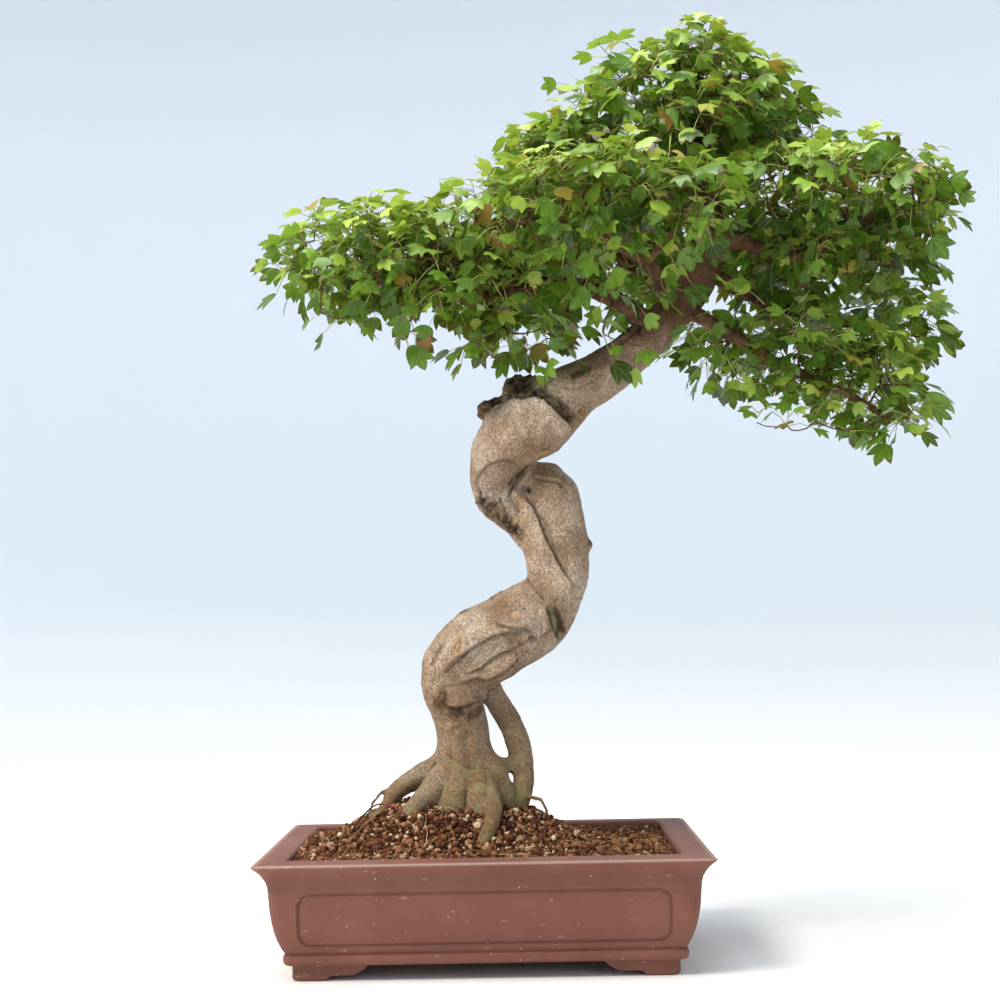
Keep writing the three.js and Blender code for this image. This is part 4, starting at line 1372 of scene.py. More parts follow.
# Rows of a kind, half width, height and line, for each part of the trunk.
MARK_ROWS = {
    "the first bend, front": [
        (Mark.FOLD, 4.2, 4.3, (-50, 324), (-31, 340), (-16, 352), (1, 362), (21, 371), (41, 373), (55, 371)),
        (Mark.FOLD, 3.4, 2.9, (-24, 324), (-3, 332), (8, 341), (22, 349), (40, 356), (51, 361)),
        (Mark.FOLD, 4.0, 4.6, (-24, 314), (-8, 320), (4, 319), (15, 324), (29, 331), (42, 345)),
        (Mark.FOLD, 3.4, 3.5, (14, 384), (34, 378), (50, 377), (61, 370)),
        (Mark.FOLD, 3.2, 2.3, (-61, 332), (-56, 344), (-51, 353), (-43, 362)),
        (Mark.FOLD, 3.6, 3.5, (50, 440), (66, 421), (80, 402)),
        (Mark.FOLD, 3.0, 2.6, (66, 366), (79, 376)),
        (Mark.FOLD, 5.5, 7.2, (-44, 290), (-30, 287), (-16, 292), (4, 299)),
        (Mark.VALLEY, 7.0, 2.5, (-60, 318), (-46, 308), (-26, 306)),
        (Mark.VALLEY, 9.0, 1.6, (-66, 352), (-52, 372), (-30, 386)),
        (Mark.PIT, 3.6, 4.5, (57, 365), (58, 363)),
        (Mark.RINGS, 10.0, 1.7, (-28, 355), (-26, 361)),
        (Mark.SCAR, 4.2, 0.9, (38, 391), (40, 391)),
        (Mark.BURR, 4.0, 2.0, (-33, 387), (-24, 393), (-10, 400)),
        (Mark.BURR, 5.0, 2.6, (8, 410), (26, 419), (34, 426)),
        (Mark.CREVICE, 4.6, 5.0, (79, 402), (84, 388), (87, 379), (92, 367), (97, 360)),
    ],
    "the column, front": [
        (Mark.BURR, 9.0, 3.4, (-52, 292), (-49, 295)),
        (Mark.BURR, 7.5, 3.2, (-42, 284), (-28, 275)),
        (Mark.PIT, 3.4, 4.0, (-30, 284), (-25, 276)),
        (Mark.CRUST, 4.6, 2.2, (-22, 273), (-12, 276), (-2, 284)),
        (Mark.RIDGE, 1.8, 1.8, (-16, 282), (-17, 270), (-15, 262)),
        (Mark.RIDGE, 1.8, 1.8, (-7, 286), (-8, 275), (-6, 266)),
        (Mark.RIDGE, 2.8, 1.5, (-58, 264), (-43, 261), (-30, 264)),
        (Mark.RIDGE, 6.0, 1.6, (-32, 258), (-31, 232), (-30, 205)),
        (Mark.FOLD, 2.6, 1.6, (-15, 212), (-33, 221), (-48, 231)),
        (Mark.VALLEY, 5.0, 2.4, (-44, 250), (-39, 228), (-41, 205), (-50, 184)),
        (Mark.VALLEY, 5.5, 2.6, (-18, 262), (-20, 235), (-16, 205), (-20, 180)),
        (Mark.VALLEY, 4.5, 2.6, (2, 215), (4, 196), (-2, 180)),
    ],
    "the upper joint, front": [
        (Mark.CRUST, 10.0, 4.6, (-3, 620), (3, 632), (14, 640), (30, 644)),
        (Mark.CRUST, 11.0, 3.4, (38, 646), (50, 655), (62, 652)),
        (Mark.CRUST, 11.0, 4.0, (34, 658), (48, 672), (68, 676)),
        (Mark.CRUST, 7.5, 4.4, (36, 649), (54, 646), (72, 651), (87, 639), (100, 628), (113, 616)),
        (Mark.CRUST, 9.0, 5.4, (-4, 536), (10, 522), (22, 510), (38, 496), (52, 482)),
        (Mark.FOLD, 4.0, 4.3, (112, 608), (98, 620), (84, 633), (70, 643), (52, 639), (34, 642)),
        (Mark.FOLD, 2.8, 1.7, (-9, 548), (-2, 558), (12, 570), (33, 575), (50, 564)),
        (Mark.FOLD, 3.0, 2.3, (5, 526), (-2, 540), (-7, 550)),
        (Mark.RINGS, 7.5, 1.5, (119, 630), (123, 627)),
        (Mark.SCAR, 3.2, 1.0, (37, 606), (39, 606)),
        (Mark.SCAR, 4.6, -1.8, (71, 579), (84, 583)),
        (Mark.PIT, 6.6, 6.5, (30, 532), (38, 521), (45, 510)),
        (Mark.PIT, 2.8, 4.4, (55, 567), (46, 555), (38, 543), (33, 530)),
    ],
    "the second bend, front": [
        (Mark.FOLD, 4.6, 5.2, (108, 419), (91, 447), (77, 474), (68, 499), (60, 519), (44, 535)),
        (Mark.FOLD, 3.6, 2.6, (61, 559), (77, 552), (93, 549), (107, 534)),
        (Mark.VALLEY, 6.0, 1.8, (58, 470), (66, 450), (74, 430)),
        (Mark.VALLEY, 8.0, 1.8, (112, 520), (116, 492), (112, 455)),
        (Mark.SCAR, 4.2, 2.2, (109, 418), (113, 415)),
        (Mark.SCAR, 2.6, 0.8, (93, 503), (95, 502)),
        (Mark.BURR, 4.5, 2.4, (126, 477), (128, 474)),
    ],
    "the leader, front": [
        (Mark.CRUST, 4.5, 0.9, (108, 668), (120, 672), (134, 680)),
        (Mark.CRUST, 8.0, 2.0, (178, 716), (196, 730), (214, 748)),
        (Mark.CRUST, 8.0, 2.4, (226, 770), (240, 796), (262, 826)),
        (Mark.FOLD, 3.4, 1.7, (96, 656), (122, 659), (150, 677)),
        (Mark.FOLD, 4.0, 2.2, (150, 700), (186, 722), (214, 750), (232, 784)),
        (Mark.VALLEY, 8.0, 1.6, (150, 660), (190, 690), (225, 728)),
    ],
    "the back": [
        (Mark.FOLD, 5.0, 4.9, (-40, 322), (-15, 344), (15, 360), (50, 372)),
        (Mark.FOLD, 4.2, 4.1, (-30, 306), (-5, 322), (25, 335), (60, 346)),
        (Mark.FOLD, 4.6, 4.9, (88, 415), (84, 448), (90, 480), (84, 512), (68, 540)),
        (Mark.FOLD, 4.0, 2.3, (110, 650), (150, 672), (190, 700)),
        (Mark.VALLEY, 6.0, 2.0, (100, 545), (112, 510), (112, 475), (104, 445)),
        (Mark.VALLEY, 5.0, 2.4, (-20, 262), (-24, 232), (-16, 205)),
        (Mark.RINGS, 10.0, 1.4, (59, 608), (63, 612)),
        (Mark.RINGS, 8.5, 1.4, (175, 700), (176, 701)),
        (Mark.CRUST, 8.0, 2.8, (14, 646), (40, 660), (70, 650), (96, 632)),
        (Mark.CRUST, 8.0, 2.4, (8, 528), (24, 514), (44, 500)),
        (Mark.CRUST, 5.5, 1.3, (-40, 240), (-28, 226)),
        (Mark.SCAR, 5.0, 1.2, (20, 372), (24, 374)),
    ],
}
MARKS = [
    BarkMark(kind, line, width, height, back=place == "the back")
    for place, rows in MARK_ROWS.items()
    for kind, width, height, *line in rows
]


@dataclass
class Trunk:
    """The trunk with its strands, second stem and surface roots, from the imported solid: rounded,
    with its creases kept, then modelled with marks and a living unevenness. Sizes in mm."""

    pot: Pot
    voxel: float = 2.15
    rounds: int = 44
    full_width: float = 46
    swell: float = 1.0
    flare_top: float = 265
    seed: int = 3

    def surface(self) -> Object:
        """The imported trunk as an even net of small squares.

        Returns:
            The piece, named maple_trunk.
        """
        piece = merged_copy("trunk", "maple_trunk")
        remesh = piece.modifiers.new("net", "REMESH")
        remesh.mode = "VOXEL"
        remesh.voxel_size = self.voxel * MM
        settle(piece)
        return piece

    def relaxed(self, points: Array, edges: Array, share: Array) -> Array:
        """Smooths a net: each round moves a point by share times the way to its neighbours' mean.

        Args:
            points: (n, 3) places.
            edges: (m, 2) numbers of the points that each edge joins.
            share: (n,) shares of the way.

        Returns:
            (n, 3) smoothed places.
        """
        count = len(points)
        degree = np.bincount(edges.ravel(), minlength=count)[:, None]
        for _ in range(self.rounds):
            mean = np.stack([
                np.bincount(edges[:, 0], column[edges[:, 1]], count)
                + np.bincount(edges[:, 1], column[edges[:, 0]], count)
                for column in points.T
            ], -1) / degree
            points = points + share[:, None] * (mean - points)
        return points

    def build(self) -> Object:
        """Makes the trunk and its attributes.

        The net is relaxed by a share that grows with the limb's thickness, found by a ray inwards,
        so that thin roots keep their girth. Where relaxing filled a crease, the bark is pushed back
        in. Then come noise of four wavelengths and the marks. Creases and downward-facing bark are
        darkened through hollow as painted shade.

        Returns:
            The trunk.
        """
        piece = self.surface()
        points, normals = vertices_of(piece), normals_of(piece)
        edges = np.zeros(len(piece.data.edges) * 2, np.int32)
        piece.data.edges.foreach_get("vertices", edges)
        tree = tree_of(piece)
        inward = zip(points - normals * 0.3 * MM, -normals)
        hits = [tree.ray_cast(Vector(p), Vector(n))[3] for p, n in inward]
        thick = np.array([self.full_width * MM if h is None else h for h in hits]) / MM
        share = 0.5 * np.clip(thick / self.full_width, 0.12, 1) ** 1.6
        low = smooth_step(self.flare_top, self.flare_top - 60, points[:, 2] / MM)
        fused = low * smooth_step(13, 22, thick)
        share = np.minimum(share * (1 + 1.3 * fused), 0.5)
        smooth = self.relaxed(points, edges.reshape(-1, 2), share)
        set_vertices(piece, smooth)
        normals = normals_of(piece)
        fill = np.einsum("ij,ij->i", smooth - points, normals) / MM
        crease = np.clip(fill - 0.7, 0, 5)
        move = self.swell * np.clip(thick / 30, 0.25, 1) - 0.8 * crease
        girth = np.clip(thick / 34, 0.2, 1)
        for pitch, height, seed in ((40, 1.6, 4), (22, 1.3, 1), (10, 0.75, 2), (5, 0.32, 3)):
            move += height * girth * lattice_noise(smooth, pitch * MM, self.seed + seed)
        marks = {name: np.zeros(len(smooth)) for name in ("hollow", "crust", "lichen", "scar")}
        # Painted shade: hollow darkens the creases that relaxing filled and the bark that faces down.
        marks["hollow"] += np.clip(crease / 2.6, 0, 0.85) + 0.3 * smooth_step(0.1, -0.8, normals[:, 2])
        move += self.mark(tree_of(piece), smooth, marks)
        low = smooth_step(300, 200, smooth[:, 2] / MM)
        marks["lichen"] += 0.52 * low * smooth_step(0.05, 0.6, lattice_noise(smooth, 13 * MM, 31))
        set_vertices(piece, smooth + normals * move[:, None] * MM)
        marks["young"] = smooth_step(640, 770, smooth[:, 2] / MM)
        for name, values in marks.items():
            set_attribute(piece, name, np.clip(values, 0, 1))
        shade_smooth(piece)
        piece.data.materials.clear()
        piece.data.materials.append(TRUNK_BARK.material())
        return ride_as(piece, "bark", "trunk")

    def mark(self, tree: BVHTree, points: Array, marks: dict[str, Array]) -> Array:
        """Sums the marks' moves and adds to their attributes.

        A mark's line is cut every 2 mm and each bit is cast onto the trunk from the front or the
        back. d is the distance to the nearest bit plus a little noise, so that no edge is straight,
        and the side is the offset from that bit along the line's left. A long mark fades at its
        ends as 1 - t^6.

        Args:
            tree: the trunk's search tree.
            points: (n, 3) places in metres.
            marks: the attributes by name, which are added to.

        Returns:
            (n,) moves outwards, in mm.
        """
        move = np.zeros(len(points))
        for item in MARKS:
            line = np.array([(x, 0, z) for x, z in item.line], float)
            dense = smooth_path(line, 2.0)
            way = 1 if item.back else -1
            starts = self.pot.placed(dense) + np.array([0, way * 1.0, 0])
            cast = [tree.ray_cast(Vector(s), Vector((0, -way, 0)))[0] for s in starts]
            hit = np.array([h is not None for h in cast])
            if not hit.any():
                log.info("a mark missed the trunk: %s", item)
                continue
            found = np.array([h for h in cast if h is not None]).reshape(-1, 3)
            along = np.tile([1.0, 0, 0], (len(dense), 1))
            if len(dense) > 2:
                along = unit(np.gradient(dense, axis=0))
            along = along[hit]
            left = np.stack([-along[:, 2], np.zeros(len(found)), along[:, 0]], -1)
            reach = 4.2 * item.width * MM
            inside = (points > found.min(0) - reach) & (points < found.max(0) + reach)
            near = np.flatnonzero(inside.all(1))
            gap = points[near][:, None] - found[None]
            apart = np.linalg.norm(gap, axis=-1)
            best = apart.argmin(1)
            pick = np.arange(len(near))
            side = np.einsum("ij,ij->i", gap[pick, best], left[best]) / MM
            shake = 0.16 * item.width * lattice_noise(points[near], 6 * MM, 77)
            d = np.abs(apart[pick, best] / MM + shake)
            push, attributes = item.profile(d, side + shake, points[near])
            share = best / max(len(found) - 1, 1)
            ends = 1 - (2 * share - 1) ** 6 if len(found) > 5 else 1
            fade = smooth_step(reach, 0.7 * reach, apart[pick, best]) * ends
            move[near] += push * fade
            for name, values in attributes.items():
                marks[name][near] += values * fade
        return move


# ---- branches


@dataclass
class Branch:
    """One branch, as a smooth limb through the middles of its packed rings. Sizes in mm."""

    node: str
    seed: int
    sides: int = 18
    spacing: float = 3.0
    ring_gap: float = 7.0
    collar: float = 1.25

    def stations(self, wood: BVHTree) -> Array:
        """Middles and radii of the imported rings, from the wood outwards, as (n, 4) in metres.

        The merged vertices are sorted by their distance from the tip, and a ring ends where that
        distance jumps. Two more stations run on into the wood behind, the last with a collar.

        Args:
            wood: a search tree over the wood that it grows from.

        Returns:
            The stations, the deepest first.
        """
        copy = merged_copy(self.node, self.node + "_rings")
        points = vertices_of(copy)
        bpy.data.objects.remove(copy)
        far = np.array([wood.find_nearest(Vector(p))[3] for p in points])
        tip = points[np.argmax(far)]
        away = np.linalg.norm(points - tip, axis=1)
        order = np.argsort(away)
        jumps = np.flatnonzero(np.diff(away[order]) > self.ring_gap * MM) + 1
        rings = [points[part] for part in np.split(order, jumps)]
        whole = [r for r in rings if 5 <= len(r) <= 7]
        found = []
        for ring in whole:
            middle = ring.mean(0)
            reach = np.linalg.norm(ring - middle, axis=1)
            found.append([*middle, reach[reach > 0.3 * reach.max()].mean()])
        stations = np.array(found[::-1])
        near = Vector(stations[0, :3])
        into = np.array(wood.find_nearest(near)[0]) - stations[0, :3]
        back = unit(unit(stations[0, :3] - stations[1, :3]) + 1.4 * unit(into))
        gap = np.linalg.norm(into)
        radius = stations[0, 3]
        root = [*(stations[0, :3] + back * (gap + 0.4 * radius)), radius * self.collar]
        deep = [*(stations[0, :3] + back * (gap + 1.5 * radius)), radius * self.collar * 0.9]
        return np.vstack([deep, root, stations])

    def build(self, wood: BVHTree, material: Material) -> tuple[Object, Array]:
        """Makes the branch with uneven bark.

        A point's distance from the middle is the path's radius times 1 + 0.15 slow noise + 0.1 fast
        noise, so the limb swells and knots like a real one.

        Args:
            wood: a search tree over the wood that it grows from.
            material: its bark.

        Returns:
            The piece, and its centreline as (n, 4) places and radii.
        """
        path = smooth_path(self.stations(wood), self.spacing * MM)
        path[:, 3] = np.maximum(path[:, 3], 0.9 * MM)
        chain = np.zeros(len(path))
        points, faces = sweep(path[:, :3], path[:, 3], chain, self.sides)
        radius = np.repeat(path[:, 3], self.sides)
        middle = np.repeat(path[:, :3], self.sides, axis=0)
        slow = lattice_noise(points, 15 * MM, self.seed)
        fast = lattice_noise(points, 4.5 * MM, self.seed + 50)
        points = middle + (points - middle) * (1 + 0.15 * slow + 0.1 * fast)[:, None]
        name = self.node.replace("_branch", "_limb")
        piece = add_piece(name, points, faces, [material])
        rough = lattice_noise(points, 22 * MM, self.seed + 9)
        # hollow is painted shade in the dips between the limb's swellings.
        for name, values in (
            ("hollow", np.clip(-0.5 * slow - 0.45 * fast - 0.15, 0, 0.6)),
            ("crust", 0.8 * smooth_step(0.1, 0.7, rough)),
            ("scar", 0.5 * smooth_step(0.3, 0.8, -rough)),
            ("young", np.maximum(smooth_step(22, 10, radius / MM), 0.75)),
        ):
            set_attribute(piece, name, values)
        return ride_as(piece, "branch_bark", self.node), path


# ---- crown


class LeafShape:
    """A trident leaf of length about one: half its outline, ribs inside it, and its triangles."""

    length = 1.06
    side_tip = (0.56, 0.75)
    side_length = math.hypot(*side_tip)
    side_vein = (side_tip[0] / side_length, side_tip[1] / side_length)
    outline = (
        (0.0, 0.0), (0.17, 0.02), (0.33, 0.13), (0.44, 0.33), (0.51, 0.53), side_tip,
        (0.40, 0.71), (0.28, 0.67), (0.20, 0.63), (0.22, 0.74), (0.13, 0.91), (0.0, length),
    )
    ribs = ((0.0, 0.28), (0.0, 0.56), (0.0, 0.82), (0.19, 0.25), (0.35, 0.47))
    half_faces = (
        (0, 1, 12), (1, 15, 12), (1, 2, 15), (2, 3, 15), (3, 16, 15), (3, 4, 16), (4, 5, 16), (5, 6, 16),
        (6, 7, 16), (7, 8, 16), (16, 8, 15), (15, 8, 13), (15, 13, 12), (8, 9, 14), (8, 14, 13),
        (9, 10, 14), (10, 11, 14),
    )

    @classmethod
    def template(cls) -> tuple[Array, Array]:
        """(n, 2) flat points of the whole leaf and its 34 triangles, facing +Z.

        Returns:
            The points and the triangles, as point numbers.
        """
        half = np.array(cls.outline + cls.ribs)
        other = np.flatnonzero(half[:, 0] != 0)
        mirror = np.arange(len(half))
        mirror[other] = len(half) + np.arange(len(other))
        points = np.vstack([half, half[other] * (-1, 1)])
        faces = np.array(cls.half_faces)
        return points, np.vstack([faces, mirror[faces][:, ::-1]])


@dataclass
class Shoots:
    """Where shoots end in one cloud of foliage: places, the way out, how far out they are, and how
    full of leaves."""

    cloud: str
    place: Array
    out: Array
    outer: Array
    full: Array


# Sprays that stand out from the clouds or hang below them, in mm from the pot's middle: left end,
# apex, hanging left of the joint, before the fork, right end, below on the right, middle below.
SPRAYS = (
    (-226, -20, 806), (-214, -18, 812), (-186, -20, 756), (-160, -20, 748), (-96, -20, 738),
    (-78, -22, 744), (-188, -14, 862), (-84, -12, 880), (130, -10, 1024), (134, -12, 1010),
    (168, -8, 1058), (196, -6, 1074), (-8, -56, 710), (8, -56, 714), (20, -58, 690),
    (36, -60, 690), (56, -60, 698), (82, -58, 712), (98, -58, 716), (158, -60, 746),
    (180, -64, 758), (196, -70, 774), (214, -74, 760), (124, -64, 750), (128, -66, 768),
    (152, -72, 776), (178, -78, 792), (204, -84, 808), (232, -84, 790), (560, -10, 908),
    (562, -10, 886), (466, -50, 608), (484, -50, 622), (424, -52, 626), (400, -54, 634),
    (344, -54, 652), (300, -56, 668), (302, -72, 760), (334, -74, 738), (370, -72, 716),
    (404, -70, 694), (148, -60, 716), (192, -60, 700), (256, -58, 700),
)


@dataclass
class Crown:
    """The crown: twigs that grow from the branches to shoots spread through the clouds of foliage,
    and the leaves on them. Sizes in mm."""

    pot: Pot
    spacing: float = 20.5
    depth: tuple[float, float] = (9, 30)
    twig_step: float = 13
    twig_tip: float = 0.65
    twig_power: float = 2.3
    pair_step: float = 6
    proud: float = 18
    stalk: tuple[float, float] = (13, 33)
    blade: tuple[float, float] = (18, 35)
    pair_chance: tuple[float, ...] = (0.97, 0.9, 0.55)
    pair_opening: tuple[float, ...] = (72, 55, 34)  # degrees from the shoot's axis
    pair_youth: tuple[float, ...] = (0.0, 0.45, 1.0)
    tries: int = 6400
    inner_gap: float = 1.7  # times the spacing
    cover: float = 14
    thickest_twig: float = 4.2
    seed: int = 29

    def __post_init__(self) -> None:
        """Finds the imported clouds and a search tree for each."""
        self.clouds = sorted(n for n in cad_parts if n.startswith("foliage_"))
        self.trees = {}
        for name in self.clouds:
            copy = merged_copy(name, name + "_shape")
            self.trees[name] = tree_of(copy)
            bpy.data.objects.remove(copy)

    def shoots(self, name: str, rng: np.random.Generator) -> Shoots:
        """Spreads shoots through one cloud: random places are tried in turn, and one is kept if no
        kept one is within the spacing. Places deeper than the shell, or that another cloud
        covers, are spaced more widely.

        Args:
            name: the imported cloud.
            rng: the source of randomness.

        Returns:
            The shoots.
        """
        low, high = (np.array(corner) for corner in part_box(name))
        tree = self.trees[name]
        others = [t for n, t in self.trees.items() if n != name]
        kept = np.zeros((0, 3))
        out, outer = [], []
        for place in rng.uniform(low, high, (self.tries, 3)):
            near, normal, _, distance = tree.find_nearest(Vector(place))
            point = Vector(place)
            if (point - near).dot(normal) >= 0 or distance < self.depth[0] * MM:
                continue
            probe = near + normal * self.cover * MM
            covered = any(is_inside(t, probe, 0) for t in others)
            inner = covered or distance > self.depth[1] * MM
            gap = self.spacing * MM * (self.inner_gap if inner else 1)
            if len(kept) and np.min(np.sum((kept - place) ** 2, 1)) < gap * gap:
                continue
            kept = np.vstack([kept, place])
            out.append(normal)
            outer.append(0.0 if inner else 1.0)
        return Shoots(name, kept, np.array(out), np.array(outer), np.ones(len(kept)))

    def add_sprays(self, shoots: list[Shoots]) -> None:
        """Gives each spray to the cloud whose surface is nearest, as a shoot with few leaves.

        Args:
            shoots: the shoots of each cloud, which are added to.
        """
        for spray in self.pot.placed(np.array(SPRAYS, float)):
            near = [self.trees[s.cloud].find_nearest(Vector(spray)) for s in shoots]
            best = int(np.argmin([n[3] for n in near]))
            item = shoots[best]
            item.place = np.vstack([item.place, spray])
            item.out = np.vstack([item.out, np.array(near[best][1])])
            item.outer = np.r_[item.outer, 1.0]
            item.full = np.r_[item.full, 0.6]

    def grow(self, seeds: Array, shoots: list[Shoots]) -> tuple[Array, Array, list[list[int]], Array]:
        """Joins every shoot to the nearest wood so far, nearest shoots first.

        A twig runs straight there with a bow of random height, cut every few millimetres. Then the
        radii follow the pipe rule: r^p is the sum of the r^p of what grows on it.

        Args:
            seeds: (n, 3) points of the branches' centrelines.
            shoots: the shoots of each cloud.

        Returns:
            Node places, node radii, each twig's nodes, and each twig's cloud number.
        """
        rng = np.random.default_rng(self.seed + 1)
        targets = np.vstack([s.place for s in shoots])
        cloud = np.repeat(np.arange(len(shoots)), [len(s.place) for s in shoots])
        reach = np.array([np.min(np.sum((seeds - t) ** 2, 1)) for t in targets])
        room = len(seeds) + len(targets) * 40
        nodes = np.zeros((room, 3))
        parent = np.full(room, -1)
        nodes[: len(seeds)] = seeds
        count = len(seeds)
        twigs = []
        order = np.argsort(reach)
        for target in targets[order]:
            apart = nodes[:count] - target
            rise = np.clip(apart[:, 2], 0, None)
            near = int(np.argmin(np.sum(apart**2, 1) + 1.2 * rise**2))
            start = nodes[near]
            length = np.linalg.norm(target - start)
            steps = max(2, math.ceil(length / (self.twig_step * MM)))
            t = np.linspace(0, 1, steps + 1)[1:, None]
            bow = rng.normal(0, 0.09, 3) * length - UP * 0.07 * length
            crook = rng.normal(0, 0.035, (steps, 3)) * length * (t < 0.99)
            new = start + (target - start) * t + np.sin(math.pi * t) * bow + crook * 0.5
            ids = list(range(count, count + steps))
            nodes[count:count + steps] = new
            parent[ids] = [near, *ids[:-1]]
            twigs.append([near, *ids])
            count += steps
        load = np.zeros(count)
        load[[twig[-1] for twig in twigs]] = self.twig_tip**self.twig_power
        for node in range(count - 1, len(seeds) - 1, -1):
            load[node] = max(load[node], self.twig_tip**self.twig_power)
            load[parent[node]] += load[node]
        radii = load ** (1 / self.twig_power) * 0.62 + 0.3
        return nodes[:count], np.minimum(radii, self.thickest_twig), twigs, cloud[order]

    def twigs(self, seeds: Array, shoots: list[Shoots], material: Material) -> None:
        """Makes the twigs, one piece for each cloud, as five-sided tubes.

        Args:
            seeds: (n, 3) points of the branches' centrelines.
            shoots: the shoots of each cloud.
            material: the twigs' bark.
        """
        nodes, radii, twigs, cloud = self.grow(seeds, shoots)
        for number, item in enumerate(shoots):
            mine = [t for t, c in zip(twigs, cloud) if c == number]
            ids = np.concatenate(mine)
            chain = np.repeat(np.arange(len(mine)), [len(t) for t in mine])
            size = radii[ids].copy()
            first = np.r_[True, chain[1:] != chain[:-1]]
            size[first] = size[np.flatnonzero(first) + 1]
            points, faces = sweep(nodes[ids], size * MM, chain, 5)
            piece = add_piece(item.cloud.replace("foliage", "twigs"), points, faces, [material])
            set_attribute(piece, "young", np.ones(len(points)))
            for name, pitch, most in (("hollow", 6, 0.4), ("crust", 11, 0.6), ("scar", 23, 0.5)):
                set_attribute(piece, name, np.clip(lattice_noise(points, pitch * MM, 41), 0, 1) * most)
            ride_as(piece, "branch_bark")

    def leaves(self, item: Shoots, materials: Sequence[Material]) -> Object:
        """Makes the leaves of one cloud.

        A shoot carries two or three pairs, each a quarter turn round from the last. A stalk leaves
        the shoot at an angle that closes towards its end. At the stalk's end the blade's axis b
        droops from the stalk's direction, and its face n is turned to the light and outwards. A
        blade's point is o + s (x e + y b + z n), with e = b x n, and z = fold |x| - curl
        (1.2 x^2 + (y - 0.3)^2 - 0.09) + twist x y. A leaf that would stand too far out of the packed
        box is left out.

        Args:
            item: one cloud's shoots.
            materials: the finishes of the blades and of the stalks.

        Returns:
            The leaves and their stalks, as one piece.
        """
        rng = np.random.default_rng(self.seed + 7 * self.clouds.index(item.cloud))
        base, out, outer = item.place, item.out, item.outer
        count = len(base)
        lean = UP * 0.55 + rng.normal(0, 0.3, (count, 3))
        axis = unit(out * 0.85 + lean)
        seedling = unit(rng.normal(size=(count, 3)))
        first = unit(np.cross(axis, seedling))
        second = np.cross(axis, first)
        parts = []
        for pair, chance in enumerate(self.pair_chance):
            for way in (1, -1):
                likely = item.full * np.where(outer > 0, chance, 0.75 * chance)
                chosen = np.flatnonzero(rng.random(count) < likely)
                turn = math.pi / 2 * pair + rng.normal(0, 0.35, len(chosen))
                radial = np.cos(turn)[:, None] * first[chosen] + np.sin(turn)[:, None] * second[chosen]
                opening = np.radians(self.pair_opening[pair] + rng.normal(0, 11, len(chosen)))[:, None]
                ray = np.cos(opening) * axis[chosen] + np.sin(opening) * (way * radial)
                foot = base[chosen] + axis[chosen] * pair * self.pair_step * MM
                parts.append((chosen, foot, ray, np.full(len(chosen), self.pair_youth[pair])))
        chosen = np.concatenate([p[0] for p in parts])
        start = np.vstack([p[1] for p in parts])
        ray = unit(np.vstack([p[2] for p in parts]))
        young = np.concatenate([p[3] for p in parts])
        total = len(chosen)
        mix = rng.random(total)
        stalk = (self.stalk[0] + (self.stalk[1] - self.stalk[0]) * (0.75 * (1 - young) + 0.25 * mix)) * MM
        size = self.blade[0] + (self.blade[1] - self.blade[0]) * rng.beta(2.0, 2.2, total)
        size *= (1 - 0.24 * young) * (0.88 + 0.12 * outer[chosen]) * MM
        end = start + ray * stalk[:, None] - UP * 0.12 * stalk[:, None]
        level = ray * (1, 1, 0.25)
        droop = rng.uniform(0.25, 1.0, (total, 1))
        b = unit(unit(level) + out[chosen] * 0.25 - UP * droop + rng.normal(0, 0.2, (total, 3)))
        face = UP * 0.8 + out[chosen] * 0.6 + rng.normal(0, 0.42, (total, 3))
        n = unit(face - b * np.sum(face * b, 1, keepdims=True))
        e = np.cross(b, n)
        flat, triangles = LeafShape.template()
        x, y = flat[:, 0][None], flat[:, 1][None]
        fold = rng.uniform(0.02, 0.30, (total, 1))
        curl = rng.uniform(0.08, 0.42, (total, 1))
        twist = rng.normal(0, 0.16, (total, 1))
        z = fold * np.abs(x) - curl * (1.2 * x**2 + (y - 0.3) ** 2) + curl * 0.09 + twist * x * y
        wide = rng.uniform(0.86, 1.12, (total, 1))
        points = end[:, None] + size[:, None, None] * (
            (x * wide)[..., None] * e[:, None] + y[..., None] * b[:, None] + z[..., None] * n[:, None]
        )
        reach = np.array(CAD_BOX) + self.proud * MM * np.array([[-1], [1]])
        kept = ((points > reach[0]) & (points < reach[1])).all((1, 2))
        points, start, end, stalk, size, b, chosen, young = (
            values[kept] for values in (points, start, end, stalk, size, b, chosen, young)
        )
        total = len(chosen)
        faces = (triangles[None] + (np.arange(total) * len(flat))[:, None, None]).reshape(-1, 3)
        shake = rng.normal(0, 0.03, (total, 3))
        bend = (start + end) / 2 + UP * 0.06 * stalk[:, None] + shake * stalk[:, None]
        path = np.stack([start, bend, end + b * size[:, None] * 0.02], 1).reshape(-1, 3)
        thin = np.tile([0.72, 0.58, 0.5], total) * MM
        stalks, stalk_faces = sweep(path, thin, np.repeat(np.arange(total), 3), 3)
        all_points = np.vstack([points.reshape(-1, 3), stalks])
        all_faces = [faces, *(f + total * len(flat) for f in stalk_faces)]
        piece = add_piece(item.cloud.replace("foliage", "leaves"), all_points, all_faces, materials)
        index = np.zeros(len(piece.data.polygons), np.int32)
        index[len(faces):] = 1
        piece.data.polygons.foreach_set("material_index", index)
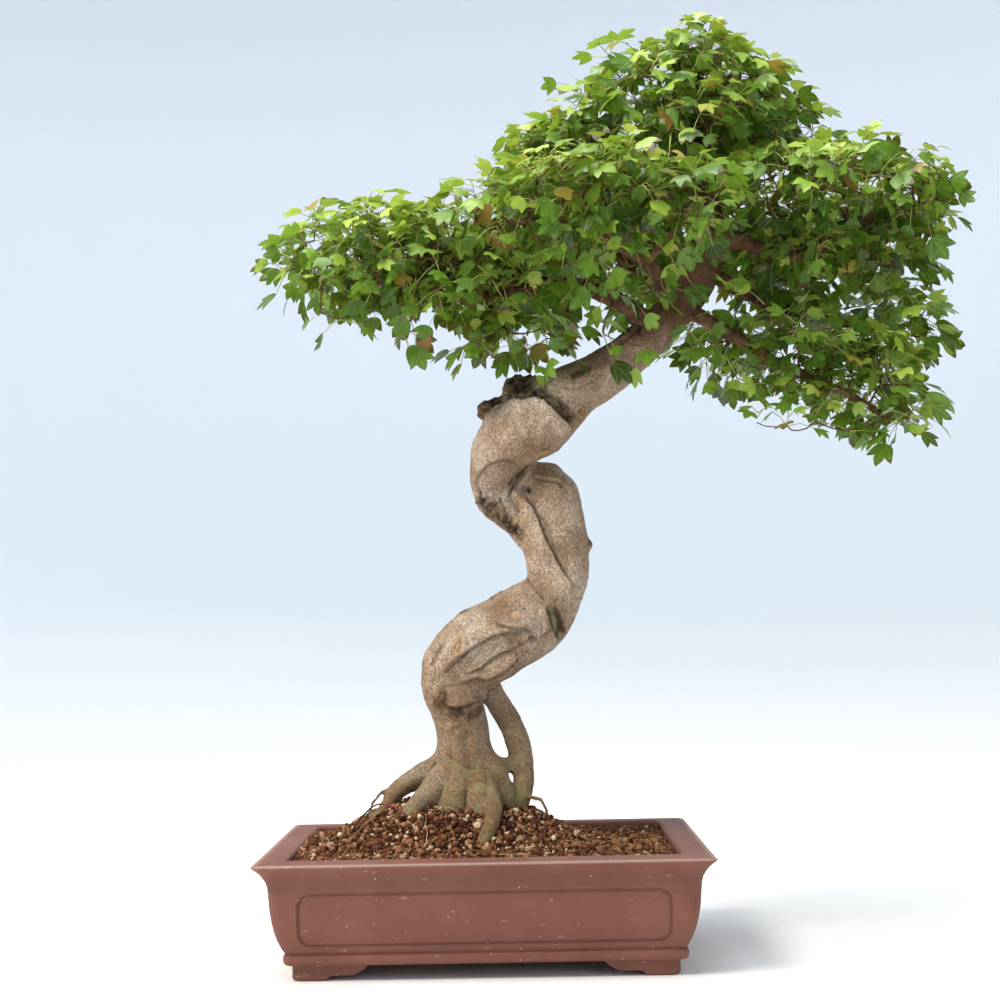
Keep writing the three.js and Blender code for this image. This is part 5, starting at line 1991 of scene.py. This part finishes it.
        # Painted light and shade: outer leaves and those at a cloud's top get a lighter tone and inner ones
        # a darker tone, partly the real darker green of shade leaves; young leaves are paler.
        high = smooth_step(-0.6, 0.9, out[chosen, 2])
        tone = 0.12 + 0.14 * outer[chosen] + 0.25 * outer[chosen] * high + 0.2 * young + 0.1 * high
        tone = tone + rng.normal(0, 0.16, total)
        warm = np.where(rng.random(total) < 0.035 + 0.05 * young * high, rng.uniform(0.2, 0.8, total), 0)
        lower = smooth_step(0.2, -0.6, out[chosen, 2])
        burnt = np.where(rng.random(total) < 0.25 + 0.45 * lower, rng.uniform(0.16, 0.46, total), 0)
        pad = len(all_points) - total * len(flat)
        for name, values in (("tone", tone), ("warmth", warm), ("scorch", burnt)):
            set_attribute(piece, name, np.r_[np.repeat(np.clip(values, 0, 1), len(flat)), np.zeros(pad)])
        uv = np.vstack([np.tile(flat + (0.5, 0), (total, 1)), np.tile([[0.5, 0.0]], (pad, 1))])
        set_uv(piece, "leaf", uv)
        return ride_as(piece, "maple_leaf", item.cloud)

    def build(self, seeds: Array) -> None:
        """Spreads the shoots, grows the twigs to them and puts on the leaves.

        Args:
            seeds: (n, 3) points of the branches' centrelines.
        """
        rng = np.random.default_rng(self.seed)
        shoots = [self.shoots(name, rng) for name in self.clouds]
        self.add_sprays(shoots)
        log.info("shoots: %d", sum(len(s.place) for s in shoots))
        self.twigs(seeds, shoots, BRANCH_BARK.material())
        blade, stalk = MapleLeaf().material(), LEAF_STALK.material()
        for item in shoots:
            self.leaves(item, (blade, stalk))


# ---- wire and drain covers


def dress_wires() -> None:
    """Rounds the tie wire, and gives the drain meshes and their clips their finishes."""
    wire = merged_copy("tie_wire", "anodised_tie_wire")
    smoothing = wire.modifiers.new("round", "SUBSURF")
    smoothing.levels = smoothing.render_levels = 2
    settle(wire)
    shade_smooth(wire)
    wire.data.materials.append(AnodisedWire().material())
    ride_as(wire, "wire", "tie_wire")
    plastic, clip = MESH_PLASTIC.material(), CLIP_WIRE.material()
    for side in ("left", "right"):
        for node, material in ((f"drain_mesh_{side}", plastic), (f"mesh_clip_{side}", clip)):
            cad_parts[node].material_slots[0].material = material


# ---- studio


@dataclass
class Studio:
    """A plain pale floor that curves up into a wall all round, soft lights, and the camera."""

    floor_radius: float = 2.7
    cove: float = 2.0
    wall_top: float = 5.0
    wall_sides: int = 96
    sky_strength: float = 0.36
    lens_mm: float = 58.3
    camera_from_pot: tuple[float, float, float] = (0.0383, -1.9273, 0.3824)
    pitch_up: float = 0.0757
    yaw: float = 0.0077
    roll: float = -0.019

    def backdrop(self) -> None:
        """A bowl of revolution: flat floor, a quarter circle, then a wall. A point is
        (r cos a, r sin a, z) for each (r, z) of the section."""
        turn = np.linspace(0, math.pi / 2, 25)
        bend = self.floor_radius + self.cove * np.sin(turn)
        r = np.r_[0.02, 0.8, 1.8, bend, self.floor_radius + self.cove]
        z = np.r_[0, 0, 0, self.cove * (1 - np.cos(turn)), self.wall_top]
        angle = np.linspace(0, 2 * math.pi, self.wall_sides, endpoint=False)
        points = np.stack([
            r[:, None] * np.cos(angle), r[:, None] * np.sin(angle),
            np.broadcast_to(z[:, None], (len(r), len(angle))),
        ], -1)
        faces, middle, _ = net(len(r), self.wall_sides, inwards=True)
        material, add, place = new_material("studio_paper")
        height = add("SeparateXYZ", {"Vector": place})
        share = add("MapRange", [height.outputs["Z"], 0.0, 1.6, 0, 1])
        colour = add("ValToRGB", {"Fac": share}, stops=[
            (0, "#f7f5f2"), (0.3, "#e2ebf1"), (1, "#e8eff8"),
        ])
        shader = add("BsdfPrincipled", {
            "Base Color": colour, "Roughness": 0.9, "Specular IOR Level": 0.1,
        })
        add("OutputMaterial", {"Surface": shader})
        add_piece("backdrop", points.reshape(-1, 3), [faces, middle], [material])

    def light(
        self, name: str, place: tuple, aim: tuple, size: float, watts: float, hex_colour: str
    ) -> None:
        """Adds a square soft light that isn't seen itself.

        Args:
            name: the light's name.
            place: where it stands, in metres.
            aim: the point that it faces.
            size: the length of its side, in metres.
            watts: its power.
            hex_colour: its colour.
        """
        data = bpy.data.lights.new(name, "AREA")
        data.size = size
        data.energy = watts
        data.color = linear(hex_colour)[:3]
        lamp = bpy.data.objects.new(name, data)
        lamp.location = place
        lamp.rotation_euler = (Vector(aim) - Vector(place)).to_track_quat("-Z", "Y").to_euler()
        lamp.visible_camera = False
        bpy.context.scene.collection.objects.link(lamp)

    def build(self, pot: Pot) -> None:
        """Sets the stage, the lights, the sky and the camera.

        Args:
            pot: the pot, which the camera stands in front of.
        """
        self.backdrop()
        self.light("key", (-1.9, -1.35, 2.75), (0.0, 0.0, 0.6), 1.2, 104, "#fff9ee")
        self.light("top", (-0.4, -0.2, 3.6), (0.05, 0.0, 0.5), 1.8, 98, "#f8fbff")
        self.light("fill", (2.2, -2.2, 1.3), (0.0, 0.0, 0.5), 2.2, 1.5, "#eef4ff")
        self.light("rear", (0.6, 2.4, 2.2), (0.0, 0.0, 0.7), 2.0, 18, "#f4f8ff")
        world = bpy.data.worlds.new("sky")
        world.use_nodes = True
        sky = world.node_tree.nodes["Background"].inputs
        sky["Color"].default_value = linear("#eaf2fb")
        sky["Strength"].default_value = self.sky_strength
        bpy.context.scene.world = world
        bpy.context.scene.view_settings.view_transform = "Standard"
        lens = bpy.data.cameras.new("camera")
        lens.lens = self.lens_mm
        camera = bpy.data.objects.new("camera", lens)
        turns = ((0, 0, self.yaw), (math.pi / 2 + self.pitch_up, 0, 0), (0, 0, self.roll))
        yaw, pitch, roll = (Euler(turn).to_matrix() for turn in turns)
        place = Vector(pot.middle) + Vector(self.camera_from_pot)
        camera.matrix_world = Matrix.Translation(place) @ (yaw @ pitch @ roll).to_4x4()
        bpy.context.scene.collection.objects.link(camera)
        bpy.context.scene.camera = camera


# ---- the plant


def leader_line(trunk: Object, above: float) -> Array:
    """Middles of the trunk's slices above a height: points that twigs may grow from.

    Args:
        trunk: the finished trunk.
        above: the lowest height, in metres.

    Returns:
        (n, 3) points.
    """
    points = vertices_of(trunk)
    cuts = np.arange(above, points[:, 2].max(), 12 * MM)
    slices = [points[np.abs(points[:, 2] - z) < 5 * MM] for z in cuts]
    return np.array([s.mean(0) for s in slices if len(s) > 4])


def main() -> None:
    """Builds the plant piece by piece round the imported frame, then the studio."""
    logging.basicConfig(level=logging.INFO, format="%(name)s: %(message)s")
    pot = Pot()
    pot.build()
    trunk = Trunk(pot).build()
    trunk_tree = tree_of(trunk)
    Soil(pot, trunk_tree).build()
    bark = BRANCH_BARK.material()
    seeds = [leader_line(trunk, 0.80)]
    names = [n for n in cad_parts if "branch" in n]
    wood = {n: merged_copy(n, n + "_wood") for n in names}
    for number, name in enumerate(sorted(names)):
        anchor = trunk_tree
        if name.endswith("_fork"):
            anchor = tree_of(wood[name.removesuffix("_fork")])
        _, path = Branch(name, seed=60 + number).build(anchor, bark)
        seeds.append(path[len(path) // 8:, :3])
    for copy in wood.values():
        bpy.data.objects.remove(copy)
    Crown(pot).build(np.vstack(seeds))
    dress_wires()
    Studio().build(pot)


if __name__ == "__main__":
    main()
